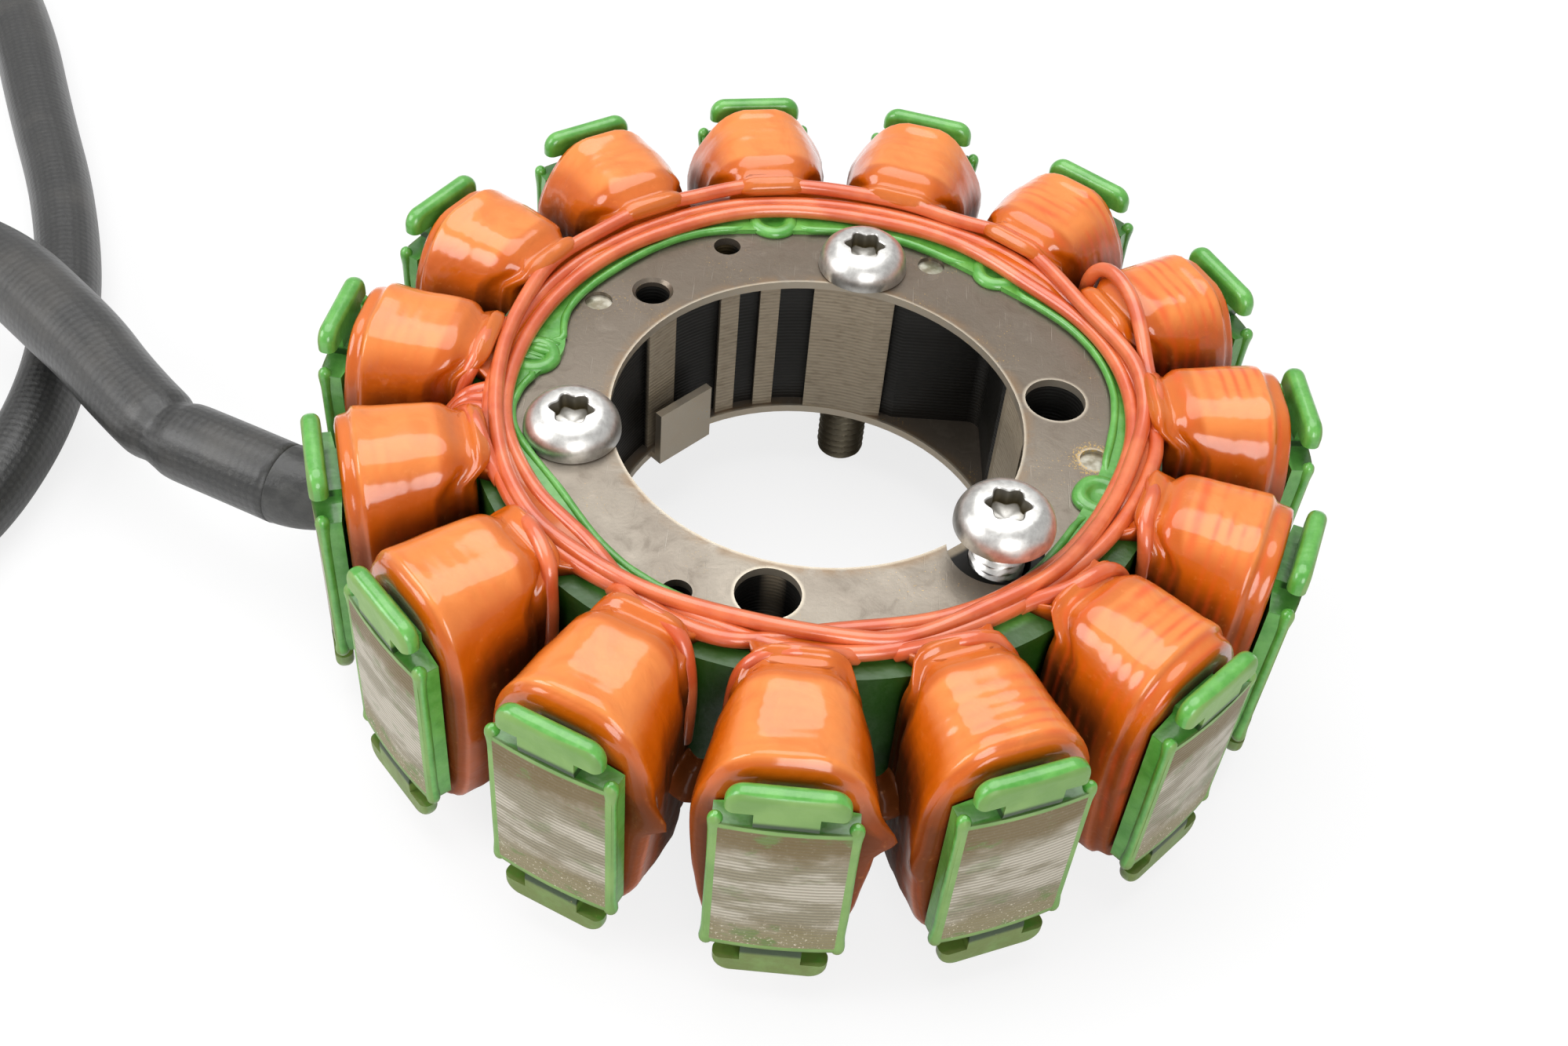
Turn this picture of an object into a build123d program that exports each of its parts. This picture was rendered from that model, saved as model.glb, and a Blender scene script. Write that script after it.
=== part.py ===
from build123d import *
import math
import os

# A wound stator for an outside rotor: a laminated steel stack with salient poles between two thin
# end plates, powder coated in the slots, wound with one coil on each pole, with its three mounting
# screws loose in their holes and its sleeved lead leaving at the left.
# The bore axis is Z. The origin is the centre of the bore at the upper face of the upper end plate,
# the face that the screw heads bear on. The front pole points along -Y. All sizes are millimetres.

# Stack and end plates
pole_count = 15
front_pole_angle = -90.0
outer_radius = 54.5
bore_radius = 22.67
stack_height = 18.8
plate_thickness = 1.0
yoke_width = 14.33
neck_width = 4.8
head_width = 12.2
head_edge_thickness = 1.9
head_root_thickness = 2.6

# Inside of the stack: the wall and the bosses lie outside the bore by these reliefs
wall_relief = 1.53
boss_relief = 0.13
boss_width = 9.6
rib_height = 0.9
rib_places = ((106.5, 2.4), (118.8, 2.4), (142.5, 4.4))
pocket_turn = 2.6
pocket_inset = 2.5
pocket_corner = 1.5

# Lips: the heads of the end plates, bent up beside the poles
bend_radius = 0.5
lip_width = 10.2
lip_height = 3.94
lip_notch_height = 2.5
lip_corner = 1.3

# Insulating coat: the masked edge is an angle and a distance outside the bore, by hand like the mask
coat_thickness = 0.6
lip_face_coat = 0.4
lip_edge_round = 0.9
coat_mask = ((174, 7.4), (-169, 10.1), (-150, 7.5), (-132, 7.9), (-95, 8.5), (-54, 8.7),
             (-22, 7.9), (1, 9.4), (14, 10.9), (32, 10.9), (51, 9.1), (78, 9.7), (102, 9.1),
             (117, 10.3), (139, 9.7), (161, 8.2))
notch_radius = 2.7
notch_places = ((171.6, 9.6), (102.4, 11.2), (53.8, 11.2), (-16.3, 9.1))

# Holes, screws and pins, symmetric about the axis through the hole under the raised screw. Each
# land is the distance from the bore out to the centre of the holes.
pattern_angle = -42.4
screw_spread = 124.0
screw_land = 4.13
screw_hole_radius = 3.3
spare_spread = 55.2
spare_land = 4.33
spare_hole_radius = 3.4
locating_angle = 138.0
locating_land = 4.53
locating_radius = 2.0
locating_chamfer = 0.4
pin_land = 7.73
pin_hole_radius = 1.6
pin_clearance = 0.02
pin_recess = 0.5
pin_angles = (149.4, 66.4, -5.8)
empty_pin_angles = (114.0, -114.5)
counterbore_radius = 5.1
counterbore_land = 3.43

# Screws: M6 x 30 button heads with a six-lobe drive
screw_radius = 3.0
screw_length = 30.0
screw_tip_chamfer = 0.9
head_radius = 5.25
head_height = 3.3
head_rim = 0.5
head_top_radius = 3.2
lobe_count = 6
lobe_core_radius = 2.05
lobe_radius = 0.62
lobe_circle = 2.15
drive_depth = 2.2
raised_screw_lift = 4.0

# Tab bent up from the lower end plate into the bore
tab_width = 8.1
tab_reach = 1.97
tab_height = 7.8

# Coils: each station is the distance from the root of the winding or back from its tip, the half
# width and the crest above the plate. A single ridge at the root, a valley, then the full block.
coil_root_gap = 0.6
coil_tip_gap = 0.05
root_stations = ((0.0, 5.8, 3.4), (0.8, 6.2, 4.3), (2.0, 6.2, 3.7), (3.0, 7.2, 4.9))
tip_stations = ((1.15, 8.8, 5.4), (0.0, 8.0, 4.7))
coil_crown_flat = 2.0

# Crossover wires lying in a ring on the coat, inside the roots of the coils
wire_radius = 0.85
ring_gap = 0.05
ring_break = 9.0

# Lead wires going down one slot to the collar: the slot is counted from the front pole
lead_slot = 11
lead_root_gap = 1.25
lead_fillet = 1.5
lead_level = -14.0
lead_spacing = 1.8

# Collar, sleeve and the far end of the lead. The sleeve's route is measured from the collar's corner
# in X and Y, and its last value is the height.
collar_set_back = 2.2
collar_gap = 0.17
collar_overhang = 2.0
collar_bend = 9.4
collar_run = 2.7
sleeve_radius = 4.7
ground_level = -30.0
far_level = ground_level + sleeve_radius
sleeve_route_steps = (
    (-9.8, 3.9, lead_level), (-19.8, 8.9, -14.8), (-31.8, 21.4, -14.6), (-47.3, 34.9, -14.6),
    (-66.3, 44.9, -19.0), (-87.3, 52.4, far_level), (-108.5, 60.2, far_level),
    (-128.8, 69.4, far_level), (-139.8, 87.9, far_level), (-138.2, 109.9, far_level),
    (-123.8, 126.4, far_level), (-102.4, 130.9, far_level), (-82.6, 121.9, far_level),
    (-70.8, 102.9, far_level), (-60.8, 81.9, far_level), (-50.3, 61.4, far_level),
    (-42.3, 39.9, far_level), (-38.6, 17.9, far_level), (-41.8, -3.1, far_level),
    (-54.8, -18.6, far_level), (-74.8, -25.6, far_level),
)
run_share = 0.45
tail_radius = 1.3
tail_pitch_near = 2.7
tail_pitch_far = 6.5
tail_length = 20.0
tail_straight = 4.0

# Connector: a three-way housing for flat terminals
housing_length = 32.0
housing_width = 24.0
housing_height = 15.0
housing_corner = 1.5
port_radius = 2.4
port_length = 3.0
cavity_width = 5.4
cavity_height = 3.4
cavity_depth = 12.0
cavity_pitch = 6.5
terminal_wall = 0.6
terminal_recess = 2.0
latch_length = 16.0
latch_width = 8.0
latch_rise = 1.6
latch_step = 4.0

# Values worked out from those above
yoke_radius = bore_radius + yoke_width
wall_radius = bore_radius + wall_relief
boss_radius = bore_radius + boss_relief
pocket_side = wall_radius - pocket_inset
screw_circle = bore_radius + screw_land
spare_circle = bore_radius + spare_land
locating_circle = bore_radius + locating_land
pin_circle = bore_radius + pin_land
counterbore_circle = bore_radius + counterbore_land
tab_distance = bore_radius - tab_reach
stack_top = -plate_thickness
stack_bottom = stack_top - stack_height
plate_bottom = stack_bottom - plate_thickness
mid_height = plate_bottom / 2
mid_plane = Plane.XY.offset(mid_height)
lip_outer = outer_radius - lip_face_coat
lip_inner = lip_outer - plate_thickness
lip_back = lip_inner - coat_thickness
bend_centre_x = lip_inner - bend_radius
outer_bend_radius = bend_radius + plate_thickness
half_neck = neck_width / 2
half_head = head_width / 2
head_start = outer_radius - head_root_thickness - coat_thickness
coil_root = yoke_radius + coat_thickness + coil_root_gap
coil_tip = head_start - coil_tip_gap
coil_stations = [(coil_root + distance, width, crest) for distance, width, crest in root_stations]
coil_stations += [(coil_tip - distance, width, crest) for distance, width, crest in tip_stations]
ring_outer_track = yoke_radius + coat_thickness - wire_radius - ring_gap
full_turn = 360
pole_pitch = full_turn / pole_count
lead_angle = front_pole_angle + (lead_slot + 0.5) * pole_pitch
lead_root = yoke_radius + coat_thickness + wire_radius + lead_root_gap
lead_tracks = [lead_root + lane * lead_spacing for lane in range(3)]
collar_start = outer_radius - collar_set_back
half_slot = collar_start * math.sin(math.radians(pole_pitch / 2)) - half_head - coat_thickness
collar_start_radius = half_slot - collar_gap


def polar(radius, angle):
    """Point in the XY plane at a radius and an angle in degrees."""
    turn = math.radians(angle)
    return (radius * math.cos(turn), radius * math.sin(turn))


def around_poles():
    """The frames of all the poles, each with its own X axis pointing outwards."""
    return PolarLocations(0, pole_count, start_angle=front_pole_angle)


screw_angles = (
    pattern_angle + screw_spread,
    pattern_angle - screw_spread,
    pattern_angle,
)
spare_angles = (pattern_angle + spare_spread, pattern_angle - spare_spread)


def plate_outline(grow):
    """The yoke disc with the necks of the end plate, grown by a coat."""
    with BuildSketch() as outline:
        Circle(yoke_radius + grow)
        with around_poles():
            Rectangle(bend_centre_x, neck_width + 2 * grow, align=(Align.MIN, Align.CENTER))
    return outline.sketch


def pole_face(grow):
    """Neck and T-shaped head of one pole along X, grown by a coat on all but its outer face."""
    neck_side = half_neck + grow
    head_side = half_head + grow
    root_x = outer_radius - head_root_thickness - grow
    corner_x = math.sqrt(outer_radius**2 - half_head**2) - head_edge_thickness - grow
    face_x = math.sqrt(outer_radius**2 - head_side**2)
    with BuildSketch() as pole:
        with BuildLine():
            Polyline(
                (wall_radius, 0),
                (wall_radius, neck_side),
                (root_x, neck_side),
                (corner_x, head_side),
                (face_x, head_side),
            )
            ThreePointArc((face_x, head_side), polar(outer_radius, 3.0), (outer_radius, 0))
            mirror(about=Plane.XZ)
        make_face()
    return pole.sketch


def stack_outline(grow):
    """The whole outer outline of the laminations, grown by a coat."""
    pole = pole_face(grow)
    with BuildSketch() as outline:
        Circle(yoke_radius + grow)
        with around_poles():
            add(pole)
    return outline.sketch


def cut_holes():
    """Cut the holes that pass through the stack and both end plates from the present sketch."""
    with Locations(*(polar(screw_circle, angle) for angle in screw_angles)):
        Circle(screw_hole_radius, mode=Mode.SUBTRACT)
    with Locations(*(polar(spare_circle, angle) for angle in spare_angles)):
        Circle(spare_hole_radius, mode=Mode.SUBTRACT)
    with Locations(polar(locating_circle, locating_angle)):
        Circle(locating_radius, mode=Mode.SUBTRACT)
    with Locations(*(polar(pin_circle, angle) for angle in pin_angles + empty_pin_angles)):
        Circle(pin_hole_radius, mode=Mode.SUBTRACT)


# Lamination stack: poles outside; inside a boss at every large hole, ribs and a square-cornered pocket
with BuildPart() as lamination_stack:
    with BuildSketch(Plane.XY.offset(stack_bottom)):
        add(stack_outline(0))
        Circle(wall_radius, mode=Mode.SUBTRACT)
        for boss_angle in screw_angles + spare_angles:
            with PolarLocations(boss_radius, 1, start_angle=boss_angle):
                Rectangle(2 * (wall_radius - boss_radius), boss_width)
        for rib_angle, rib_width in rib_places:
            with PolarLocations(wall_radius, 1, start_angle=rib_angle):
                Rectangle(2 * rib_height, rib_width)
        Circle(boss_radius, mode=Mode.SUBTRACT)
        with PolarLocations(0, 1, start_angle=pocket_turn):
            Rectangle(pocket_side, pocket_side, align=(Align.MIN, Align.MIN), mode=Mode.SUBTRACT)
        cut_holes()
    extrude(amount=stack_height)
    corner_place = Vector(pocket_side, pocket_side, mid_height).rotate(Axis.Z, pocket_turn)
    pocket_edge = lamination_stack.edges().filter_by(Axis.Z).sort_by_distance(corner_place)[:1]
    fillet(pocket_edge, radius=pocket_corner)
lamination_stack.part.label = "lamination_stack"

# One lip in the frame of its pole: a tongue as wide as the neck, turned up, with two free wings
with BuildPart() as lip:
    with BuildSketch(Plane.XZ):
        with BuildLine():
            top_of_bend = (lip_inner, bend_radius)
            Line((head_start, 0), (bend_centre_x, 0))
            CenterArc((bend_centre_x, bend_radius), bend_radius, -90, 90)
            Line(top_of_bend, (lip_inner, lip_height))
            Line((lip_inner, lip_height), (lip_outer, lip_height))
            Line((lip_outer, lip_height), (lip_outer, bend_radius))
            CenterArc((bend_centre_x, bend_radius), outer_bend_radius, 0, -90)
            Polyline((bend_centre_x, stack_top), (head_start, stack_top), (head_start, 0))
        make_face()
    extrude(amount=half_neck, both=True)
    with BuildSketch(Plane.YZ.offset(lip_inner)) as wings:
        with Locations((0, lip_notch_height)):
            Rectangle(lip_width, lip_height - lip_notch_height, align=(Align.CENTER, Align.MIN))
        fillet(wings.vertices().group_by(Axis.Y)[-1], radius=lip_corner)
    extrude(amount=plate_thickness)

# Upper end plate, with a round opening in it under the raised screw
with BuildPart() as end_plate_top:
    with BuildSketch(Plane.XY.offset(stack_top)):
        add(plate_outline(0))
        Circle(bore_radius, mode=Mode.SUBTRACT)
        cut_holes()
        with Locations(polar(counterbore_circle, pattern_angle)):
            Circle(counterbore_radius, mode=Mode.SUBTRACT)
    extrude(amount=plate_thickness)
    locating_edge = end_plate_top.edges().filter_by(GeomType.CIRCLE).sort_by_distance(
        Vector(*polar(locating_circle, locating_angle), 0)
    )[0]
    chamfer(locating_edge, length=locating_chamfer)
    with around_poles():
        add(lip.part)
end_plate_top.part.label = "end_plate_top"

# Lower end plate: the same lips bent down, and a tab bent up into the bore
with BuildPart() as end_plate_bottom:
    with BuildSketch(Plane.XY.offset(plate_bottom)):
        add(plate_outline(0))
        Circle(bore_radius, mode=Mode.SUBTRACT)
        cut_holes()
        with PolarLocations(tab_distance, 1, start_angle=locating_angle):
            Rectangle(wall_radius - tab_distance, tab_width, align=(Align.MIN, Align.CENTER))
    extrude(amount=plate_thickness)
    with BuildSketch(Plane.XY.offset(plate_bottom)):
        with PolarLocations(tab_distance, 1, start_angle=locating_angle):
            Rectangle(plate_thickness, tab_width, align=(Align.MIN, Align.CENTER))
    extrude(amount=tab_height)
    with around_poles():
        add(lip.part.mirror(mid_plane))
end_plate_bottom.part.label = "end_plate_bottom"

# Coat of one lip in the frame of its pole, with the top of the pole's head and less the steel
with BuildPart() as lip_coat:
    with BuildSketch(Plane.YZ.offset(lip_back)) as coated_wings:
        coated_base = lip_notch_height - coat_thickness
        with Locations((0, coated_base)):
            Rectangle(
                lip_width + 2 * coat_thickness,
                lip_height + coat_thickness - coated_base,
                align=(Align.CENTER, Align.MIN),
            )
        fillet(coated_wings.vertices().group_by(Axis.Y)[-1], radius=lip_corner + coat_thickness)
    extrude(amount=outer_radius - lip_back)
    free_edges = lip_coat.edges().filter_by(Plane.YZ).group_by(Axis.Z)[1:]
    fillet([edge for level in free_edges for edge in level], radius=lip_edge_round)
    with BuildSketch(Plane.XZ):
        with BuildLine():
            coat_bend = outer_bend_radius + lip_face_coat
            CenterArc((bend_centre_x, bend_radius), coat_bend, 0, -90)
            Polyline(
                (bend_centre_x, bend_radius - coat_bend),
                (head_start, bend_radius - coat_bend),
                (head_start, coat_thickness),
                (lip_back, coat_thickness),
                (lip_back, lip_notch_height),
                (outer_radius, lip_notch_height),
                (outer_radius, bend_radius),
            )
        make_face()
    extrude(amount=half_neck + coat_thickness, both=True)
    split(bisect_by=Plane.XY.offset(stack_top), keep=Keep.TOP)
    with BuildSketch(Plane.XY.offset(stack_top)):
        add(pole_face(coat_thickness))
        Rectangle(2 * head_start, head_width, mode=Mode.SUBTRACT)
    extrude(amount=coat_thickness)
    add(lip.part, mode=Mode.SUBTRACT)

# Insulating coat: slot liner, sides and caps of the end plates, and the lips, made for the upper
# half and mirrored. The caps stop at the edge that was masked, with its half-round notches.
with BuildPart() as insulation_coat:
    with BuildSketch(mid_plane):
        add(stack_outline(coat_thickness))
        add(stack_outline(0), mode=Mode.SUBTRACT)
    extrude(amount=stack_top - mid_height)
    with BuildSketch(Plane.XY.offset(stack_top)):
        add(plate_outline(coat_thickness))
        add(plate_outline(0), mode=Mode.SUBTRACT)
    extrude(amount=plate_thickness)
    with BuildSketch():
        add(plate_outline(coat_thickness))
        with BuildLine():
            Spline(*(polar(bore_radius + land, angle) for angle, land in coat_mask), periodic=True)
        make_face(mode=Mode.SUBTRACT)
        with Locations(*(polar(bore_radius + land, angle) for angle, land in notch_places)):
            Circle(notch_radius, mode=Mode.SUBTRACT)
    extrude(amount=coat_thickness)
    with around_poles():
        add(lip_coat.part)
    mirror(about=mid_plane)
insulation_coat.part.label = "insulation_coat"


def make_coil(pole):
    """The winding of one pole: a rounded body round the neck, stepped up towards the head."""
    angle = front_pole_angle + pole * pole_pitch
    with BuildPart() as coil:
        for distance, half_width, crest in coil_stations:
            across = Plane(
                origin=(*polar(distance, angle), mid_height),
                x_dir=polar(1, angle + 90),
                z_dir=polar(1, angle),
            )
            with BuildSketch(across):
                RectangleRounded(2 * half_width, 2 * (crest - mid_height), half_width - coil_crown_flat)
        loft(ruled=True)
        root_plane = Plane(
            origin=(*polar(coil_stations[0][0], angle), mid_height),
            x_dir=polar(1, angle + 90),
            z_dir=polar(1, angle),
        )
        with BuildSketch(root_plane):
            Rectangle(neck_width + 2 * coat_thickness, 2 * (coat_thickness - mid_height))
        extrude(amount=coil_stations[-1][0] - coil_stations[0][0], mode=Mode.SUBTRACT)
    return coil.part


coils = []
for pole in range(pole_count):
    winding = make_coil(pole)
    winding.label = f"coil_{pole + 1:02d}"
    coils.append(winding)


def make_crossover(track, level, start, end):
    """A crossover wire: an arc round the axis with a round section."""
    with BuildPart() as wire:
        with BuildLine():
            arc = CenterArc((0, 0, level), track, start, end - start)
        with BuildSketch(arc ^ 0):
            Circle(wire_radius)
        sweep()
    return wire.part


wire_pitch = 2 * wire_radius + ring_gap
ring_level = coat_thickness + wire_radius + ring_gap
upper_level = ring_level + wire_pitch * math.sqrt(3) / 2
crossovers = {
    "crossover_wire_a": (ring_outer_track, ring_level, lead_angle + ring_break),
    "crossover_wire_b": (ring_outer_track - wire_pitch, ring_level, lead_angle + 2 * ring_break),
    "crossover_wire_c": (ring_outer_track - wire_pitch / 2, upper_level, lead_angle + 3 * ring_break),
}
crossover_wires = []
for name, (track, level, start) in crossovers.items():
    wire = make_crossover(track, level, start, start + full_turn - ring_break)
    wire.label = name
    crossover_wires.append(wire)

# Lead wires: over the ring, down the slot and out between two coils, nested one in the other
lead_plane = Plane(origin=(0, 0, 0), x_dir=polar(1, lead_angle), z_dir=polar(1, lead_angle - 90))
lead_start = ring_outer_track + wire_radius + ring_gap
with BuildPart() as lead_wires:
    for index, track in enumerate(lead_tracks):
        top = ring_level + index * wire_pitch
        level = lead_level + (index - 1) * lead_spacing
        with BuildLine(lead_plane):
            route = FilletPolyline(
                (lead_start, top), (track, top), (track, level), (collar_start, level), radius=lead_fillet
            )
        with BuildSketch(route ^ 0):
            Circle(wire_radius)
        sweep(path=route)
lead_wires.part.label = "lead_wires"

# Collar: the shrunk end of the sleeve, tapered to pass between two pole heads and bent beyond them
collar_turn = Vector(*polar(outer_radius + collar_overhang, lead_angle), lead_level)
sleeve_points = [(collar_turn.X + dx, collar_turn.Y + dy, level) for dx, dy, level in sleeve_route_steps]
first_heading = (Vector(*sleeve_points[0]) - collar_turn).normalized()
collar_end = collar_turn + first_heading * collar_run
sleeve_route = (tuple(collar_end), *sleeve_points)
with BuildPart() as lead_collar:
    with BuildLine():
        collar_path = FilletPolyline(
            (*polar(collar_start, lead_angle), lead_level), collar_turn, collar_end, radius=collar_bend
        )
    with BuildSketch(collar_path ^ 0):
        Circle(collar_start_radius)
    with BuildSketch(collar_path ^ 1):
        Circle(sleeve_radius)
    sweep(path=collar_path, multisection=True)
lead_collar.part.label = "lead_collar"


def corner_radii(points):
    """The largest arcs that leave a straight piece of each run: one radius for each inner point."""
    radii = []
    for before, here, after in zip(points, points[1:], points[2:]):
        run_in = Vector(*here) - Vector(*before)
        run_out = Vector(*after) - Vector(*here)
        half_turn = math.radians(run_in.get_angle(run_out)) / 2
        radii.append(run_share * min(run_in.length, run_out.length) / math.tan(half_turn))
    return radii


# Sleeve: a plain tube along the route of the lead
sleeve_radii = corner_radii(sleeve_route)
with BuildPart() as lead_sleeve:
    with BuildLine() as sleeve_line:
        sleeve_path = FilletPolyline(*sleeve_route, radius=sleeve_radii)
    with BuildSketch(sleeve_path ^ 0):
        Circle(sleeve_radius)
    sweep(path=sleeve_path)
lead_sleeve.part.label = "lead_sleeve"
print("sleeve radii", [round(radius, 1) for radius in sleeve_radii])
sleeve_length = sleeve_path.length
section = math.pi * sleeve_radius**2
print("sleeve length", round(sleeve_length, 1), "volume ratio", round(lead_sleeve.part.volume / section / sleeve_length, 4))

# The far end of the lead, in the frame of the last run of the sleeve
last = Vector(*sleeve_route[-1])
heading = (last - Vector(*sleeve_route[-2])).normalized()
side = Vector(0, 0, 1).cross(heading)
far_plane = Plane(origin=last, x_dir=side, z_dir=heading)
flat_plane = Plane(origin=last, x_dir=heading, z_dir=(0, 0, 1))

# Tail: three insulated wires spreading from the sleeve to the connector
with BuildPart() as lead_tail:
    for lane in (-1, 0, 1):
        near = lane * tail_pitch_near
        far = lane * tail_pitch_far
        with BuildLine(flat_plane):
            if lane == 0:
                tail = Line((0, near), (tail_length, far))
            else:
                tail = FilletPolyline(
                    (0, near),
                    (tail_straight, near),
                    (tail_length - tail_straight, far),
                    (tail_length, far),
                    radius=tail_straight,
                )
        with BuildSketch(tail ^ 0):
            Circle(tail_radius)
        sweep(path=tail)
lead_tail.part.label = "lead_tail"

# Connector housing: rounded body with three wire ports behind, three cavities in front, a latch on top
body_start = tail_length + port_length
body_end = body_start + housing_length
body_middle = (body_start + body_end) / 2
with BuildPart() as connector_housing:
    with BuildSketch(Plane(origin=last + heading * body_start, x_dir=side, z_dir=heading)):
        with Locations((0, housing_height / 2 - sleeve_radius)):
            RectangleRounded(housing_width, housing_height, housing_corner)
    extrude(amount=housing_length)
    with BuildSketch(Plane(origin=last + heading * body_start, x_dir=side, z_dir=heading)):
        with GridLocations(tail_pitch_far, 0, 3, 1):
            Circle(port_radius)
    extrude(amount=-port_length)
    with BuildSketch(Plane(origin=last + heading * body_end, x_dir=side, z_dir=heading)):
        with GridLocations(cavity_pitch, 0, 3, 1):
            Rectangle(cavity_width, cavity_height)
    extrude(amount=-cavity_depth, mode=Mode.SUBTRACT)
    latch_level = housing_height - sleeve_radius
    with BuildSketch(Plane(origin=last, x_dir=heading, z_dir=-side)):
        with BuildLine():
            Polyline(
                (body_middle - latch_length / 2, latch_level),
                (body_middle - latch_length / 2, latch_level + latch_rise),
                (body_middle, latch_level + latch_rise),
                (body_middle + latch_step, latch_level + latch_rise / 2),
                (body_middle + latch_length / 2, latch_level + latch_rise / 2),
                (body_middle + latch_length / 2, latch_level),
                close=True,
            )
        make_face()
    extrude(amount=latch_width / 2, both=True)
connector_housing.part.label = "connector_housing"

# Terminals: flat receptacles set back in the cavities
with BuildPart() as connector_terminals:
    terminal_front = body_end - terminal_recess
    with BuildSketch(Plane(origin=last + heading * terminal_front, x_dir=side, z_dir=heading)):
        with GridLocations(cavity_pitch, 0, 3, 1):
            Rectangle(cavity_width, cavity_height)
            Rectangle(
                cavity_width - 2 * terminal_wall,
                cavity_height - 2 * terminal_wall,
                mode=Mode.SUBTRACT,
            )
    extrude(amount=terminal_recess - cavity_depth)
connector_terminals.part.label = "connector_terminals"


def make_screw(angle, lift):
    """A button-head screw with its head's underside at a height above the plate."""
    with BuildPart() as screw:
        seat = (*polar(screw_circle, angle), lift)
        section_plane = Plane(origin=seat, x_dir=(1, 0, 0), z_dir=(0, -1, 0))
        with BuildSketch(section_plane):
            with BuildLine():
                Polyline(
                    (head_top_radius, head_height),
                    (0, head_height),
                    (0, -screw_length),
                    (screw_radius - screw_tip_chamfer, -screw_length),
                    (screw_radius, screw_tip_chamfer - screw_length),
                    (screw_radius, 0),
                    (head_radius, 0),
                    (head_radius, head_rim),
                )
                TangentArc((head_radius, head_rim), (head_top_radius, head_height), tangent=(0, 1))
            make_face()
        revolve(axis=Axis(origin=seat, direction=(0, 0, 1)))
        with BuildSketch(Plane.XY.offset(lift + head_height)):
            with Locations(polar(screw_circle, angle)):
                Circle(lobe_core_radius)
                with PolarLocations(lobe_circle, lobe_count, start_angle=angle):
                    Circle(lobe_radius)
        extrude(amount=-drive_depth, mode=Mode.SUBTRACT)
    return screw.part


screws = []
for letter, angle, lift in zip("abc", screw_angles, (0, 0, raised_screw_lift)):
    screw = make_screw(angle, lift)
    screw.label = f"mounting_screw_{letter}"
    screws.append(screw)

# Pins that hold the laminations together, their ends a little below the plates
with BuildPart() as stack_pins:
    with BuildSketch(Plane.XY.offset(plate_bottom + pin_recess)):
        with Locations(*(polar(pin_circle, angle) for angle in pin_angles)):
            Circle(pin_hole_radius - pin_clearance)
    extrude(amount=-plate_bottom - 2 * pin_recess)
stack_pins.part.label = "stack_pins"

os.makedirs("parts", exist_ok=True)
pieces = [
    lamination_stack.part,
    end_plate_top.part,
    end_plate_bottom.part,
    insulation_coat.part,
    *coils,
    *crossover_wires,
    lead_wires.part,
    lead_collar.part,
    lead_sleeve.part,
    lead_tail.part,
    connector_housing.part,
    connector_terminals.part,
    *screws,
    stack_pins.part,
]
for piece in pieces:
    export_step(piece, f"parts/{piece.label}.step")
    print(piece.label, len(piece.solids()), round(piece.volume, 1))
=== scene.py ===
# %% [markdown]
# Dressing a wound stator
# The part is the still half of a small generator: a ring of steel sheets with fifteen poles, green
# powder coat where the wire would rub on steel, one thick varnished coil on each pole, a ring of
# crossover wires, three loose screws and a sleeved lead. The CAD solids hold every size. This lesson
# gives them their finishes, and puts finer windings and wires where the plain solids stand.

import math
import random

import bpy
from mathutils import Matrix, Vector, noise


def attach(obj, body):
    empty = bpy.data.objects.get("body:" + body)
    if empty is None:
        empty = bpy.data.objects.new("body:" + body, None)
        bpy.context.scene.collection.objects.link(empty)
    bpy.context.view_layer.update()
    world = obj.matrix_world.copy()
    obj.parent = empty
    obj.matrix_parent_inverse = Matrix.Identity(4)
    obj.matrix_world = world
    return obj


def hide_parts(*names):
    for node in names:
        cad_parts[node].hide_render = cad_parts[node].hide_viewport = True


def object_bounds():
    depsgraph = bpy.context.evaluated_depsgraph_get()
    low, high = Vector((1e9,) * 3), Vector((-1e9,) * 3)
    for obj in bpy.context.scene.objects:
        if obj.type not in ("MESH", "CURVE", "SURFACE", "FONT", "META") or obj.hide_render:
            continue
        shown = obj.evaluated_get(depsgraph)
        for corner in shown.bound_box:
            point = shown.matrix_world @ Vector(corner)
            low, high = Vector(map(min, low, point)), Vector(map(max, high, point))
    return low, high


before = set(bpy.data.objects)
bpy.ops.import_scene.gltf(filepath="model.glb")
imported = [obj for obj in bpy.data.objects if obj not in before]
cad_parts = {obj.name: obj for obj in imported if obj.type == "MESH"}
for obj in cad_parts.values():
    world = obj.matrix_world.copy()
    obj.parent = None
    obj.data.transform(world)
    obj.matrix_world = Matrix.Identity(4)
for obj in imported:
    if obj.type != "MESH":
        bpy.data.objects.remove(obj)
cad_low, cad_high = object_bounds()
MM = 0.001


def in_mm(values, digits=1):
    """Metres as rounded millimetres."""
    return [round(value / MM, digits) for value in values]


print("CAD box in mm:", in_mm((*cad_low, *cad_high)))

# %% [markdown]
# Sizes that the solids hold
# The finishes and the finer pieces have to follow the solids. So what they share is measured on the
# solids and not typed again: how far the poles reach, how wide the bore is, the middle of the stack,
# the number of poles and the floor. Every length below is in millimetres.


# %% Sizes that the solids hold
def corners(node):
    """The corners of a solid, in mm."""
    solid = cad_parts[node]
    return [solid.matrix_world @ corner.co / MM for corner in solid.data.vertices]


stack_heights = [place.z for place in corners("lamination_stack")]
outer_radius = round(max(place.xy.length for place in corners("lamination_stack")), 2)
bore_radius = round(min(place.xy.length for place in corners("end_plate_top")), 2)
mid_height = round((min(stack_heights) + max(stack_heights)) / 2, 2)
pole_count = sum(name.startswith("coil_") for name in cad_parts)
pole_pitch = 360 / pole_count
front_pole_angle = -90.0
ground = in_mm(cad_low, 2)[2]
print(pole_count, "poles to radius", outer_radius, "round a bore of radius", bore_radius)
print("middle of the stack at", mid_height, "and floor at", ground)

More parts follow.
